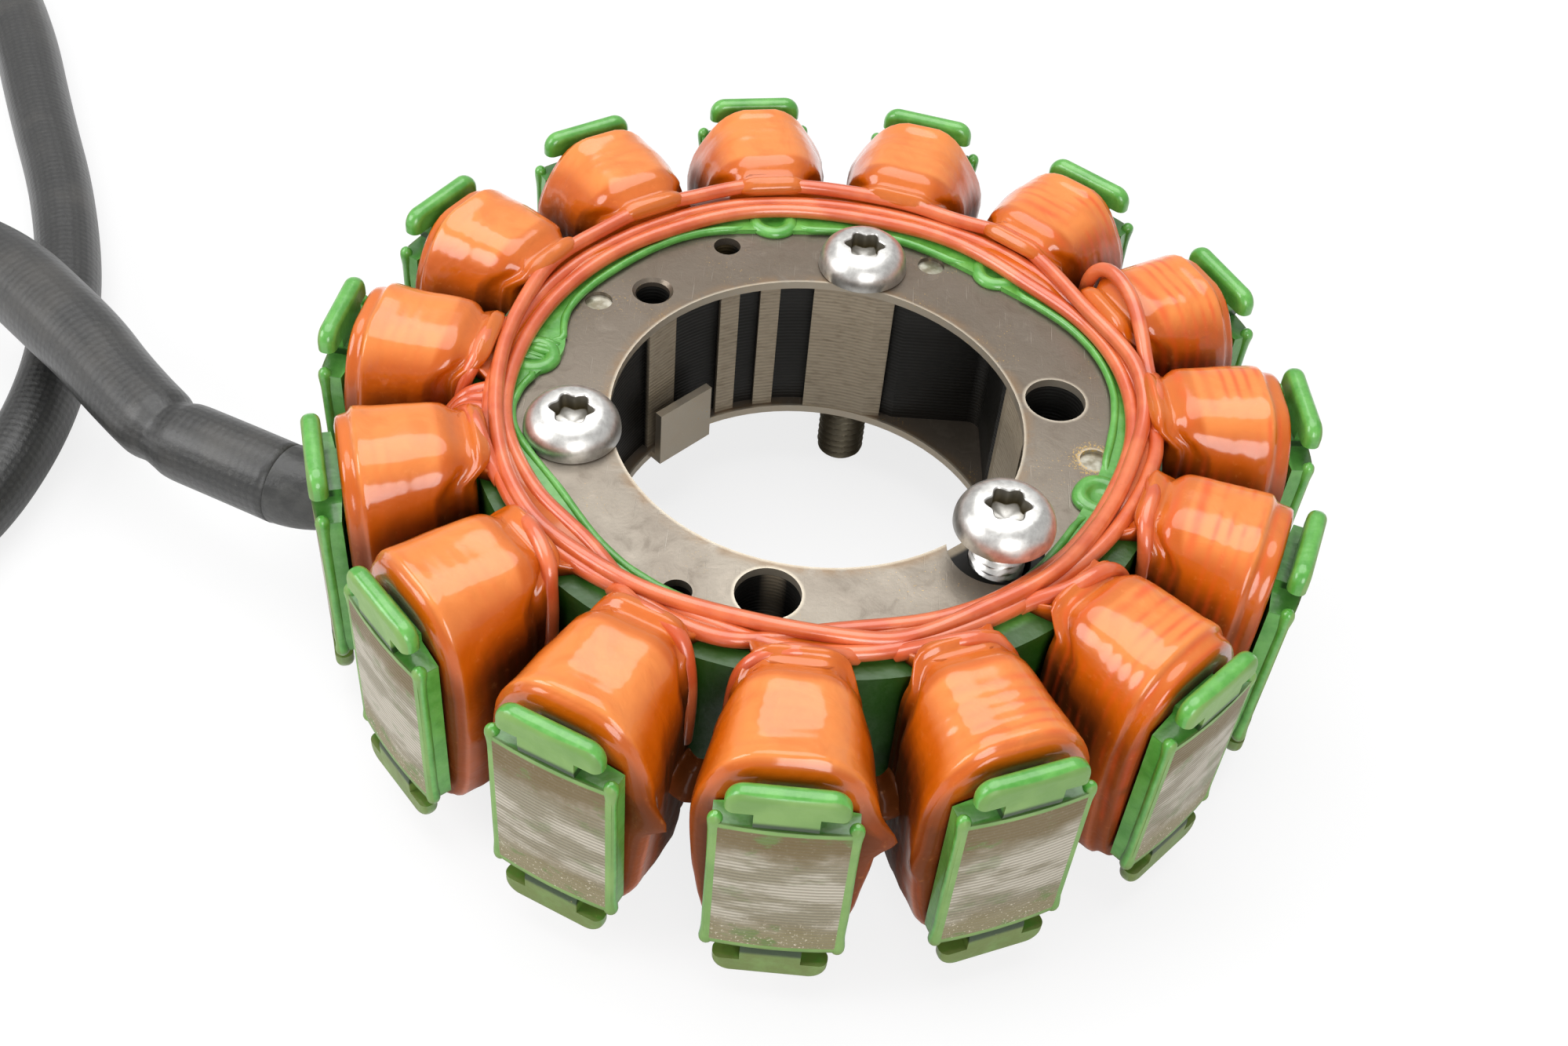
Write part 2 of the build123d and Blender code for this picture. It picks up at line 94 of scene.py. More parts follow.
# %% [markdown]
# Camera
# A camera is a place, a direction and a lens. This one orbits a target at a distance, and a small
# roll tips the horizon, because a camera held in the hand is seldom level. Building its matrix from
# three perpendicular directions keeps the roll exact, which a tracking constraint would not.

# %% Camera
target = Vector((-2.62, -16.93, 0.0)) * MM
camera_distance = 188.8 * MM
azimuth = math.radians(-90.52)
elevation = math.radians(46.28)
roll = math.radians(5.88)
toward = Vector(
    (math.cos(elevation) * math.cos(azimuth), math.cos(elevation) * math.sin(azimuth), math.sin(elevation))
)
level_right = (-toward).cross(Vector((0, 0, 1))).normalized()
level_up = level_right.cross(-toward)
camera_x = level_right * math.cos(roll) + level_up * math.sin(roll)
camera_y = level_up * math.cos(roll) - level_right * math.sin(roll)
camera_data = bpy.data.cameras.new("camera")
camera_data.sensor_width = 36.0
camera_data.lens = 42.12
camera_data.clip_start = 0.01
camera = bpy.data.objects.new("camera", camera_data)
bpy.context.scene.collection.objects.link(camera)
camera.matrix_world = Matrix.Translation(target + toward * camera_distance) @ Matrix(
    (camera_x, camera_y, toward)
).transposed().to_4x4()
bpy.context.scene.camera = camera
bpy.context.scene.view_settings.view_transform = "Standard"
print("camera at", in_mm(camera.matrix_world.translation))

# %% [markdown]
# The lead's sleeve
# The lead is a length of woven sleeve with three wires in it. It leaves the collar, drops to the
# floor, makes one loose loop and ends at its connector. It is a tube of rings along a line. The
# corners of the route are rounded between the middles of their runs, just as the solid's fillets do,
# and rings of points allow what a plain sweep doesn't: a fold where the sleeve has been bent sharply,
# and two numbers that tell the weave how far along and how far round a point is. A fourth number in
# the route is a share of the radius, because the sleeve is slack and bulges where it is pushed.

# %% Route of the sleeve
sleeve_radius = 4.7
far_level = ground + sleeve_radius
sleeve_points = (
    (-58.75, -4.96, -14.0), (-66.0, -2.0, -14.0), (-71.8, 0.6, -14.4), (-74.8, 2.2, -14.7),
    (-82.5, 9.5, -14.7, 1.03), (-87.5, 14.9, -14.6, 1.08), (-92.0, 18.9, -14.6, 1.12),
    (-103.5, 29.0, -14.6, 1.13), (-122.5, 39.0, -18.6, 1.1), (-143.5, 46.5, far_level, 1.0),
    (-164.7, 54.3, far_level), (-185.0, 63.5, far_level), (-196.0, 82.0, far_level),
    (-194.4, 104.0, far_level), (-180.0, 120.5, far_level), (-158.6, 125.0, far_level),
    (-138.8, 116.0, far_level), (-127.0, 97.0, far_level), (-117.0, 76.0, far_level, 0.95),
    (-106.5, 55.5, far_level, 0.90), (-98.5, 34.0, far_level, 0.88), (-94.8, 12.0, far_level, 0.88),
    (-98.0, -9.0, far_level, 0.90), (-111.0, -24.5, far_level, 0.95), (-131.0, -31.5, far_level),
)
print("the sleeve leaves at", sleeve_points[0], "and ends at", sleeve_points[-1])


# %% Meshes from rings of points
def add_mesh(name, points, faces, numbers=None):
    """A smooth mesh object from points in mm, with numbers at its points for a shader to read."""
    mesh = bpy.data.meshes.new(name)
    mesh.from_pydata([Vector(point) * MM for point in points], [], faces)
    mesh.validate()
    mesh.polygons.foreach_set("use_smooth", [True] * len(mesh.polygons))
    for key, values in (numbers or {}).items():
        mesh.attributes.new(key, "FLOAT", "POINT").data.foreach_set("value", values)
    made = bpy.data.objects.new(name, mesh)
    bpy.context.scene.collection.objects.link(made)
    return made


def ring_faces(rings, around, closed=False, capped=False):
    """Quads between rings of points, back to the first ring or with a cap at both ends."""
    faces = []
    for ring in range(rings if closed else rings - 1):
        low, high = ring * around, (ring + 1) % rings * around
        for i in range(around):
            j = (i + 1) % around
            faces.append((low + i, low + j, high + j, high + i))
    if capped:
        faces.append(tuple(reversed(range(around))))
        faces.append(tuple(range((rings - 1) * around, rings * around)))
    return faces


def shifted(faces, by):
    """The same faces for points that come later in a list."""
    return [tuple(corner + by for corner in face) for face in faces]


def seat(obj, node=None):
    """Seat a piece in the part: in place of a CAD node if one is named, and on the one body there is."""
    if node:
        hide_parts(node)
    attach(obj, "root")


print("faces of a box, as two rings of four points:", len(ring_faces(2, 4, capped=True)))


# %% A line with rounded corners
def rounded_line(points, steps):
    """The line that a spline of order three draws: a bow at each point, from the middle of one run to
    the middle of the next."""
    line = []
    last = len(points) - 1
    for i in range(1, last):
        before, here, after = (Vector(point) for point in points[i - 1 : i + 2])
        first = before if i == 1 else (before + here) / 2
        final = after if i == last - 1 else (here + after) / 2
        for step in range(steps):
            share = step / steps
            line.append(first * (1 - share) ** 2 + here * (2 * share * (1 - share)) + final * share**2)
    line.append(Vector(points[last]))
    return line


steps_in_a_bow = 14
centre_line = rounded_line([(*place, 1.0)[:4] for place in sleeve_points], steps_in_a_bow)
print("centre line:", len(centre_line), "points")

# %% A tube along the line
girth_steps = 40
fold_place = Vector((-73.9, 1.9, -14.6))
fold_width = 1.6
fold_depth = 0.13
fold_slant = 0.5
fold_range = 12.0
points, along_values, round_values = [], [], []
travelled = 0.0
for index, place in enumerate(centre_line):
    before, after = centre_line[max(index - 1, 0)], centre_line[min(index + 1, len(centre_line) - 1)]
    travelled += (place.xyz - before.xyz).length
    heading = (after.xyz - before.xyz).normalized()
    across = heading.cross(Vector((0, 0, 1))).normalized()
    upward = across.cross(heading)
    for step in range(girth_steps):
        angle = 2 * math.pi * step / girth_steps - math.pi / 2
        out = across * math.cos(angle) + upward * math.sin(angle)
        from_fold = place.xyz - fold_place
        offset = from_fold.dot(heading) + fold_slant * math.sin(angle)
        near_fold = math.exp(-((offset / fold_width) ** 2)) if from_fold.length < fold_range else 0.0
        reach = sleeve_radius * place.w * (1 - fold_depth * near_fold)
        points.append(place.xyz + out * reach)
        along_values.append(travelled)
        round_values.append(step / girth_steps)
faces = ring_faces(len(centre_line), girth_steps, capped=True)
sleeve = add_mesh("braided_sleeve", points, faces, {"along": along_values, "round": round_values})
seat(sleeve, "lead_sleeve")
[value * MM for value in sleeve_points[0]]
print("sleeve:", len(centre_line), "rings,", round(travelled, 1), "mm along its centre")

# %% [markdown]
# Shader maths as plain expressions
# A material is a tree of nodes. Written out node by node it hides its own sums, so a small class
# wraps a socket and turns Python's operators into Math nodes. One method adds every other node: its
# settings go in first, because they decide which sockets it has.


# %% A socket that takes part in arithmetic
class Value:
    """A number, colour or vector that a node puts out."""

    def __init__(self, paint, socket):
        self.paint = paint
        self.socket = socket

    def __add__(self, other):
        return self.paint.math("ADD", self, other)

    __radd__ = __add__

    def __mul__(self, other):
        return self.paint.math("MULTIPLY", self, other)

    __rmul__ = __mul__

    def __sub__(self, other):
        return self.paint.math("SUBTRACT", self, other)

    def __rsub__(self, other):
        return self.paint.math("SUBTRACT", other, self)

    def __pow__(self, other):
        return self.paint.math("POWER", self, other)


# %% A material that is built up by expressions
class Paint:
    """The nodes of a material, or of the world, with the few kinds that these finishes need."""

    def __init__(self, name, world=None):
        self.owner = world or bpy.data.materials.new(name)
        self.owner.use_nodes = True
        self.tree = self.owner.node_tree
        self.tree.nodes.clear()
        self.place = self.node("ShaderNodeTexCoord", out="Object")

    def node(self, kind, settings=None, sockets=None, out=0):
        """Add a node: its settings first, then the values or links of its sockets."""
        made = self.tree.nodes.new(kind)
        for name, value in (settings or {}).items():
            setattr(made, name, value)
        for key, value in (sockets or {}).items():
            if isinstance(value, Value):
                self.tree.links.new(value.socket, made.inputs[key])
            else:
                made.inputs[key].default_value = value
        return Value(self, made.outputs[out]) if len(made.outputs) else None

    def math(self, operation, first, second=0.0):
        return self.node("ShaderNodeMath", {"operation": operation}, {0: first, 1: second})

    def split(self, vector):
        """The three parts of a vector, in mm."""
        scaled = self.node("ShaderNodeVectorMath", {"operation": "SCALE"}, {0: vector, "Scale": 1 / MM})
        return [self.node("ShaderNodeSeparateXYZ", None, {0: scaled}, out) for out in "XYZ"]

    def noise(self, size, detail=4.0, rough=0.55, distortion=0.0, vector=None):
        """Cloudy numbers round 0.5, with features about as wide as a size in mm."""
        return self.node(
            "ShaderNodeTexNoise",
            None,
            {
                "Vector": vector or self.place,
                "Scale": 1 / (size * MM),
                "Detail": detail,
                "Roughness": rough,
                "Distortion": distortion,
            },
        )

    def stretch(self, scale, turn=0.0):
        """The place, turned about the axis and then stretched."""
        return self.node(
            "ShaderNodeMapping",
            {"vector_type": "POINT"},
            {"Vector": self.place, "Rotation": (0, 0, math.radians(turn)), "Scale": scale},
        )

    def step(self, value, low, high):
        """0 below low, 1 above high, and a soft way between."""
        sockets = {"Value": value, "From Min": low, "From Max": high}
        return self.node("ShaderNodeMapRange", {"interpolation_type": "SMOOTHSTEP"}, sockets)

    def mix(self, factor, low, high, blend="MIX"):
        """A colour between two colours."""
        settings = {"data_type": "RGBA", "blend_type": blend}
        sockets = {0: factor}
        for key, colour in ((6, low), (7, high)):
            sockets[key] = colour if isinstance(colour, Value) else (*colour, 1.0)
        return self.node("ShaderNodeMix", settings, sockets, out=2)

    def bump(self, height, depth, normal=None):
        """A normal from a height between 0 and 1 and a depth in mm."""
        sockets = {"Height": height, "Distance": depth * MM, "Strength": 1.0}
        if normal:
            sockets["Normal"] = normal
        return self.node("ShaderNodeBump", None, sockets)

    def finish(self, **sockets):
        """The surface: a Principled shader with these sockets."""
        named = {name.replace("_", " "): value for name, value in sockets.items()}
        shader = self.node("ShaderNodeBsdfPrincipled", None, named)
        self.node("ShaderNodeOutputMaterial", None, {"Surface": shader})
        print("finish", self.owner.name, "has", len(self.tree.nodes), "nodes")
        return self.owner


def tone(red, green, blue):
    """A colour from the 0 to 255 numbers of a screen, as the light that a shader works in."""
    return tuple(
        part / 12.92 if part <= 0.04045 else ((part + 0.055) / 1.055) ** 2.4
        for part in (red / 255, green / 255, blue / 255)
    )


def dress(obj, material):
    """Give an object one material in place of those it has."""
    obj.data.materials.clear()
    obj.data.materials.append(material)


# %% [markdown]
# Studio
# The part lies on a pale table under wide soft lamps. The floor and the sky are white only for the
# camera and in reflections, so that they light nothing by themselves, and the floor still takes a
# shadow. One large lamp overhead gives the wide highlights on the varnish, two at the sides model
# the poles.


# %% Rays that may see the white surroundings
def white_for(paint, seen, mirrored):
    """A share of white for what the camera sees, and another for mirror and see-through rays."""
    direct = paint.node("ShaderNodeLightPath", out="Is Camera Ray")
    glossy = paint.node("ShaderNodeLightPath", out="Is Glossy Ray")
    through = paint.node("ShaderNodeLightPath", out="Is Transmission Ray")
    return paint.math("MAXIMUM", direct * seen, paint.math("MAXIMUM", glossy, through) * mirrored)


# %% Floor
floor_half = 1500.0
floor_corners = [(x * floor_half, y * floor_half, ground) for x, y in ((-1, -1), (1, -1), (1, 1), (-1, 1))]
floor = add_mesh("floor", floor_corners, [(0, 1, 2, 3)])
floor_paint = Paint("pale_floor")
floor_diffuse = floor_paint.node("ShaderNodeBsdfDiffuse", None, {"Color": (0.86, 0.86, 0.86, 1.0)})
floor_glow = floor_paint.node("ShaderNodeEmission", None, {"Color": (1.0, 1.0, 1.0, 1.0), "Strength": 1.0})
floor_white = white_for(floor_paint, 0.80, 0.16)
floor_sockets = {0: floor_white, 1: floor_diffuse, 2: floor_glow}
floor_shader = floor_paint.node("ShaderNodeMixShader", None, floor_sockets)
floor_paint.node("ShaderNodeOutputMaterial", None, {"Surface": floor_shader})
dress(floor, floor_paint.owner)
print("floor:", 2 * floor_half, "mm wide at", ground)

# %% World
sky = Paint("sky", bpy.data.worlds.new("studio"))
bpy.context.scene.world = sky.owner
sky_light = sky.node("ShaderNodeBackground", None, {"Color": (0.97, 0.98, 1.0, 1.0), "Strength": 0.36})
sky_white = sky.node("ShaderNodeBackground", None, {"Color": (1.0, 1.0, 1.0, 1.0), "Strength": 1.0})
sky_seen = white_for(sky, 1.0, 0.46)
sky_shader = sky.node("ShaderNodeMixShader", None, {0: sky_seen, 1: sky_light, 2: sky_white})
sky.node("ShaderNodeOutputWorld", None, {"Surface": sky_shader})
print("world:", sky.owner.name)


# %% Lamps
def add_lamp(name, place, aim, size, power):
    """A soft lamp: a glowing disc that faces a point. Places are in mm."""
    lamp_data = bpy.data.lights.new(name, "AREA")
    lamp_data.shape = "DISK"
    lamp_data.size = size * MM
    lamp_data.energy = power
    lamp = bpy.data.objects.new(name, lamp_data)
    bpy.context.scene.collection.objects.link(lamp)
    lamp.location = Vector(place) * MM
    lamp.rotation_mode = "QUATERNION"
    lamp.rotation_quaternion = (Vector(aim) * MM - lamp.location).to_track_quat("-Z", "Y")
    return lamp


stator_centre = (0, 0, -10)
lamps = [
    add_lamp("overhead", (-60, 160, 620), stator_centre, 760, 4.7),
    add_lamp("left_window", (-520, -120, 330), stator_centre, 360, 2.0),
    add_lamp("front_fill", (160, -620, 300), stator_centre, 380, 2.5),
]
print("lamps:", [lamp.name for lamp in lamps])

# %% [markdown]
# Steel
# The poles' faces were ground after coating, so the edges of the half-millimetre sheets show as fine
# level lines on bare grey steel, browner towards both ends. The bore wall was never ground: its
# bosses are lighter than the reliefs between them, which are painted near black as shade in the
# recesses. All of it comes from the place of the shaded point: its distance from the axis tells a
# face from the wall, its height gives lines and bands.

# %% Lamination steel
sheet_thickness = 0.5
boss_edge = bore_radius + 0.73
steel = Paint("lamination_steel")
x, y, z = steel.split(steel.place)
from_axis = (x * x + y * y) ** 0.5
on_wall = 1 - steel.step(from_axis, 31.0, 33.0)
lines = steel.math("SINE", z * (2 * math.pi / sheet_thickness)) * 0.5 + 0.5
clouds = steel.noise(6.0, 5.0, 0.6)
streaks = steel.noise(1.6, 4.0, 0.6, vector=steel.stretch((1, 1, 4)))
specks = steel.noise(0.28, 2.0, 0.7)
patches = steel.noise(7.0, 6.0, 0.6, vector=steel.stretch((0.8, 0.8, 2.6)))
face = steel.mix(steel.step(patches, 0.42, 0.58), tone(144, 136, 114), tone(188, 180, 164))
from_middle = steel.math("ABSOLUTE", z - (mid_height - 0.2))
ends = steel.step(from_middle + (clouds - 0.5) * 7, 3.4, 7.6)
low_end = 1 - steel.step(z, -18.0, -14.0)
face = steel.mix(ends * 0.94, face, steel.mix(low_end, tone(98, 80, 38), tone(124, 114, 80)))
green_rest = steel.step(steel.noise(4.6, 4.0, 0.6, vector=steel.stretch((1, 1, 1.5))), 0.56, 0.66)
face = steel.mix(green_rest * (ends * 0.5 + 0.35), face, tone(92, 116, 54))
face = steel.mix(lines * (1 - ends) * 0.45 + lines * 0.12, face, tone(92, 84, 66))
face = steel.mix(steel.step(specks, 0.62, 0.68) * (low_end * 0.6 + 0.12), face, tone(224, 214, 196))
boss = 1 - steel.step(from_axis, boss_edge, boss_edge + 0.6)
# Painted shade: the reliefs between the bosses of the bore wall are near black.
wall_with_shade = steel.mix(boss, tone(18, 17, 14), tone(158, 145, 124))
wall_with_shade = steel.mix(steel.step(streaks, 0.46, 0.72) * 0.5 * boss, wall_with_shade, tone(112, 98, 78))
wall_with_shade = steel.mix(lines * 0.22, wall_with_shade, tone(30, 27, 23))
steel_colour = steel.mix(on_wall, face, wall_with_shade)
steel_normal = steel.bump(lines, 0.03, steel.bump(streaks, 0.008))
steel_finish = steel.finish(
    Base_Color=steel_colour,
    Metallic=0.50 - ends * 0.25 + (clouds - 0.5) * 0.2,
    Roughness=0.44 + (streaks - 0.5) * 0.2 + ends * 0.1,
    Normal=steel_normal,
)
dress(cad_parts["lamination_stack"], steel_finish)

# %% [markdown]
# End plates
# The two outer sheets are thicker and bare where they were masked. Oil and heat have stained them in
# soft clouds, with brown at the edges of the holes, fine scratches where covers have rubbed, and
# brassy dust here and there, most of it round one pin. The edges of the bore and the holes are
# lighter: a painted highlight where the edges catch the light. Long thin noise, turned several ways,
# makes the scratches. The holes are given as x, y and a radius.

# %% End plate steel
spare_holes = ((26.33, 5.98, 3.4), (-3.57, -26.76, 3.4))
pin_hole = (30.24, -3.07, 1.6)
plate = Paint("end_plate_steel")
x, y, z = plate.split(plate.place)
from_axis = (x * x + y * y) ** 0.5
clouds = plate.noise(11.0, 5.0, 0.6, 0.4)
stains = plate.noise(3.2, 5.0, 0.65, 0.8)
grain = plate.noise(0.35, 3.0, 0.6)
front = plate.step(y * -1, -20.0, 28.0)
shade = plate.mix(front, tone(106, 96, 84), tone(142, 134, 122))
bare = plate.mix(plate.step(clouds, 0.36, 0.66) * 0.5, shade, tone(118, 108, 97))
bare = plate.mix(plate.step(stains, 0.50, 0.74) * 0.34, bare, tone(82, 70, 58))
bare = plate.mix(plate.step(stains, 0.30, 0.44) * -0.16 + 0.16, bare, tone(164, 153, 139))
rim = 1 - plate.step(from_axis, bore_radius + 0.13, bore_radius + 1.73)
bare = plate.mix(rim * plate.step(stains, 0.35, 0.6) * 0.5, bare, tone(136, 108, 76))
scratches = plate.step(plate.noise(0.22, 1.0, 0.5, vector=plate.stretch((1, 0.03, 1), 38)), 0.68, 0.80)
for turn in (-24, 81):
    more = plate.step(plate.noise(0.25, 1.0, 0.5, vector=plate.stretch((1, 0.04, 1), turn)), 0.71, 0.79)
    scratches = plate.math("MAXIMUM", scratches, more)
bare = plate.mix(scratches * 0.16, bare, tone(206, 198, 186))
# Painted highlight: a lighter band along the edges of the bore and the holes, where the edges catch the
# light.
edge_highlight = 1 - plate.step(from_axis, bore_radius + 0.03, bore_radius + 0.43)
for hole_x, hole_y, hole_radius in (*spare_holes, pin_hole):
    from_hole = ((x - hole_x) ** 2 + (y - hole_y) ** 2) ** 0.5
    hole_edge_highlight = 1 - plate.step(from_hole, hole_radius + 0.05, hole_radius + 0.45)
    edge_highlight = plate.math("MAXIMUM", edge_highlight, hole_edge_highlight)
bare = plate.mix(edge_highlight * 0.65, bare, tone(196, 186, 168))
from_pin = from_hole
near_pin = 1 - plate.step(from_pin, 1.9, 3.6)
grains = plate.step(plate.noise(0.30, 2.0, 0.8), 0.64 - near_pin * 0.14, 0.70 - near_pin * 0.12)
dust = grains * plate.math("MAXIMUM", plate.step(plate.noise(9.0), 0.50, 0.62), near_pin)
bare = plate.mix(dust * 0.8, bare, tone(196, 158, 72))
plate_normal = plate.bump(grain, 0.012, plate.bump(stains, 0.03, plate.bump(1 - scratches, 0.01)))
plate_finish = plate.finish(
    Base_Color=bare,
    Metallic=0.72 - dust * 0.6,
    Roughness=0.38 + (stains - 0.5) * 0.3 + (grain - 0.5) * 0.1,
    Normal=plate_normal,
)
for name in ("end_plate_top", "end_plate_bottom"):
    dress(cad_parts[name], plate_finish)

# %% [markdown]
# Powder coat
# The coat is a green powder, melted on. It keeps a soft orange-peel skin, is darker between the
# coils, where varnish has run over it and painted shade stands for the shade of the slots, and was
# ground through to a flat grey-green on everything that stands at the outer radius. The lower lips
# are dirtier, towards olive. Two finishes come from one recipe: the beads of the coat, further down,
# have no shade in their creases.

# %% Powder coat
varnish_from = 35.0
varnish_to = 49.5
face_half_height = 9.75
lower_plate_level = -20.9


def make_coat(name, crease_share):
    """Green powder coat, with a share of shade in the creases beside the lips."""
    coat = Paint(name)
    x, y, z = coat.split(coat.place)
    from_axis = (x * x + y * y) ** 0.5
    peel = coat.noise(1.5, 2.0, 0.5)
    dirt = coat.noise(2.6, 5.0, 0.65)
    green = coat.mix(coat.step(dirt, 0.30, 0.70), tone(68, 140, 48), tone(96, 164, 72))
    # Dark green between the coils: varnish run over the coat, and painted shade in the slots.
    varnish_and_shade = coat.step(from_axis, varnish_from - 0.6, varnish_from + 1.0)
    varnish_and_shade = varnish_and_shade * (1 - coat.step(from_axis, varnish_to - 1.0, varnish_to + 1.0))
    green = coat.mix(varnish_and_shade * 0.92, green, tone(26, 62, 3))
    ground_off = coat.step(from_axis, outer_radius - 0.30, outer_radius - 0.12)
    pale = coat.mix(coat.step(coat.noise(5.0, 3.0, 0.5), 0.35, 0.65), tone(96, 134, 62), tone(112, 147, 75))
    green = coat.mix(ground_off, green, pale)
    low = 1 - coat.step(z, lower_plate_level, lower_plate_level + 1.3)
    green = coat.mix(low * (coat.step(dirt, 0.30, 0.60) * 0.4 + 0.45), green, tone(92, 104, 44))
    beyond = coat.math("ABSOLUTE", z - mid_height) - face_half_height
    at_lips = coat.step(from_axis, outer_radius - 2.7, outer_radius - 2.1)
    crease = coat.step(beyond, 0.05, 0.45) * (1 - coat.step(beyond, 1.0, 1.6)) * at_lips
    green = coat.mix(crease * crease_share, green, tone(10, 38, 4))
    chips = coat.step(coat.noise(0.5, 3.0, 0.7), 0.70, 0.75)
    green = coat.mix(chips * (low * 0.6 + 0.12), green, tone(150, 140, 80))
    return coat.finish(
        Base_Color=green,
        Roughness=0.32 + ground_off * 0.22 + varnish_and_shade * 0.10 + (dirt - 0.5) * 0.15,
        Normal=coat.bump(peel, 0.10, coat.bump(dirt, 0.04)),
        Coat_Weight=(1 - ground_off) * (1 - varnish_and_shade) * 0.35 + 0.05,
        Coat_Roughness=0.10,
    )


coat_finish = make_coat("powder_coat", 0.94)
bead_finish = make_coat("powder_bead", 0.0)
dress(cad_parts["insulation_coat"], coat_finish)

# %% [markdown]
# Enamelled wire under varnish
# Each coil is wound with red-orange enamelled wire, then dipped in clear amber varnish that fills
# the grooves. On the crown the varnish is thin and pale, down the sides it is thick and brown, and
# the darker browns low on the sides and in the slots are partly painted shade. The winding's mesh
# carries two numbers for the shader: how deep in varnish and in painted shade a point is, and how
# far it is through a turn, so that colour and relief agree. Between the turns the red enamel shows
# through, most of all on the right, where the varnish has run off.

# %% Varnished winding
amber = Paint("varnished_winding")
deep = amber.node("ShaderNodeAttribute", {"attribute_name": "deep"}, out="Fac")
turn = amber.node("ShaderNodeAttribute", {"attribute_name": "turn"}, out="Fac")
flow = amber.noise(4.5, 3.0, 0.5, 0.6)
runs = amber.noise(2.0, 2.0, 0.5, 0.3)
fine = amber.noise(0.9, 4.0, 0.6)
side = amber.step(deep, 0.04, 0.34)
orange = amber.mix(side, tone(219, 128, 60), tone(184, 84, 4))
# Darker browns further down: thick varnish, and painted shade low on the sides, on the webs and in the slots.
orange = amber.mix(amber.step(deep, 0.44, 0.82), orange, tone(126, 56, 5))
orange = amber.mix(amber.step(deep, 0.80, 1.0), orange, tone(78, 35, 3))
orange = amber.mix(amber.step(flow, 0.42, 0.68) * 0.45 * (1 - side), orange, tone(196, 100, 30))
groove = (amber.math("COSINE", turn * (2 * math.pi)) * 0.5 + 0.5) ** 2.0
right_side = amber.step(amber.split(amber.place)[0], 8.0, 30.0)
here = amber.step(amber.noise(6.0, 2.0, 0.5), 0.36, 0.62) * (right_side * 0.85 + 0.15)
orange = amber.mix(groove * here * 0.7 * (1 - side * 0.5), orange, tone(212, 76, 26))
orange = amber.mix(amber.step(fine, 0.60, 0.74) * 0.10, orange, tone(240, 160, 92))
winding_finish = amber.finish(
    Base_Color=orange,
    Roughness=0.42 + (fine - 0.5) * 0.2 + amber.step(deep, 0.5, 0.9) * 0.25,
    Normal=amber.bump(flow, 0.30, amber.bump(runs, 0.10, amber.bump(fine, 0.015))),
    Coat_Weight=(0.9 + (flow - 0.5) * 0.4) * (1 - amber.step(deep, 0.50, 0.85) * 0.85),
    Coat_Roughness=0.12,
    Coat_IOR=1.5,
    Specular_IOR_Level=0.12,
)

# %% [markdown]
# The windings
# A winding is a body of turns round the pole. It could be one long wire, but under varnish only soft
# ridges show, so a skin is better: rings of points, one ring every fifth of a millimetre along the
# pole, each ring a rounded oblong whose width and crest follow the real profile. A low ridge of one
# turn at the root, a valley, the full block, a rim and a ledge at the lip. Ridges of single turns and
# slow waves of varnish are added along the outward direction.

# %% The outline of a winding across its pole
crown_flat = 2.0
corner_stretch = 1.45
quarter_steps = (2, 9, 6)


def outline(width, crest, flat=crown_flat):
    """Points and outward directions of a rounded oblong round the pole, from the crown round by the
    right: (across, up, outward across, outward up)."""
    reach = crest - mid_height
    corner = width - flat
    corner_height = min(corner * corner_stretch, reach)
    steps_flat, steps_arc, steps_side = quarter_steps
    quarter = [(flat * i / steps_flat, reach, 0.0, 1.0) for i in range(steps_flat)]
    for i in range(steps_arc):
        bend = math.pi / 2 * i / steps_arc
        quarter.append(
            (
                flat + corner * math.sin(bend), reach - corner_height + corner_height * math.cos(bend),
                math.sin(bend), math.cos(bend),
            )
        )
    for i in range(steps_side + 1):
        quarter.append((width, (reach - corner_height) * (1 - i / steps_side), 1.0, 0.0))
    right_low = [(a, -u, na, -nu) for a, u, na, nu in reversed(quarter[:-1])]
    right = quarter + right_low
    left = [(-a, u, -na, nu) for a, u, na, nu in reversed(right[1:-1])]
    return [(a, mid_height + u, na, nu) for a, u, na, nu in right + left]


print("points in an outline:", len(outline(8.0, 5.0)))


# %% A smooth curve through keys
def smooth(keys, at):
    """The numbers at a place, from keys that are each a place and its numbers. Cubic pieces pass
    through every key, with the slope of the line between its neighbours."""
    places = [key[0] for key in keys]
    index = max(i for i in range(len(keys) - 1) if i == 0 or places[i] <= at)
    k0, k1, k2, k3 = (keys[min(max(i, 0), len(keys) - 1)] for i in range(index - 1, index + 3))
    share = min(max((at - k1[0]) / (k2[0] - k1[0]), 0.0), 1.0)
    result = []
    for n in range(1, len(k1)):
        slope1 = (k2[n] - k0[n]) / max(k2[0] - k0[0], 1e-6) * (k2[0] - k1[0])
        slope2 = (k3[n] - k1[n]) / max(k3[0] - k1[0], 1e-6) * (k2[0] - k1[0])
        a, b, s = k1[n], k2[n], share
        result.append(
            a * (2 * s**3 - 3 * s**2 + 1) + slope1 * (s**3 - 2 * s**2 + s)
            + b * (3 * s**2 - 2 * s**3) + slope2 * (s**3 - s**2)
        )
    return result


def soft_step(value, low, high):
    """0 below low, 1 above high, and a soft way between, as the materials have it."""
    share = min(max((value - low) / (high - low), 0.0), 1.0)
    return share * share * (3 - 2 * share)


print("halfway between 0 and 1:", smooth(((0.0, 0.0), (1.0, 1.0)), 0.5), soft_step(0.5, 0.0, 1.0))

# %% Profile of a winding along its pole
root_profile = (
    (37.75, 5.2, 2.2), (38.1, 5.9, 3.4), (38.7, 6.25, 4.3), (39.3, 6.3, 4.45), (39.9, 6.25, 4.0),
    (40.5, 6.35, 3.75), (41.0, 6.8, 4.1), (41.6, 7.3, 4.85), (42.6, 7.6, 5.1),
)
block_width = 8.75
block_crest = 5.45
block_start = 42.0
tip = 51.25


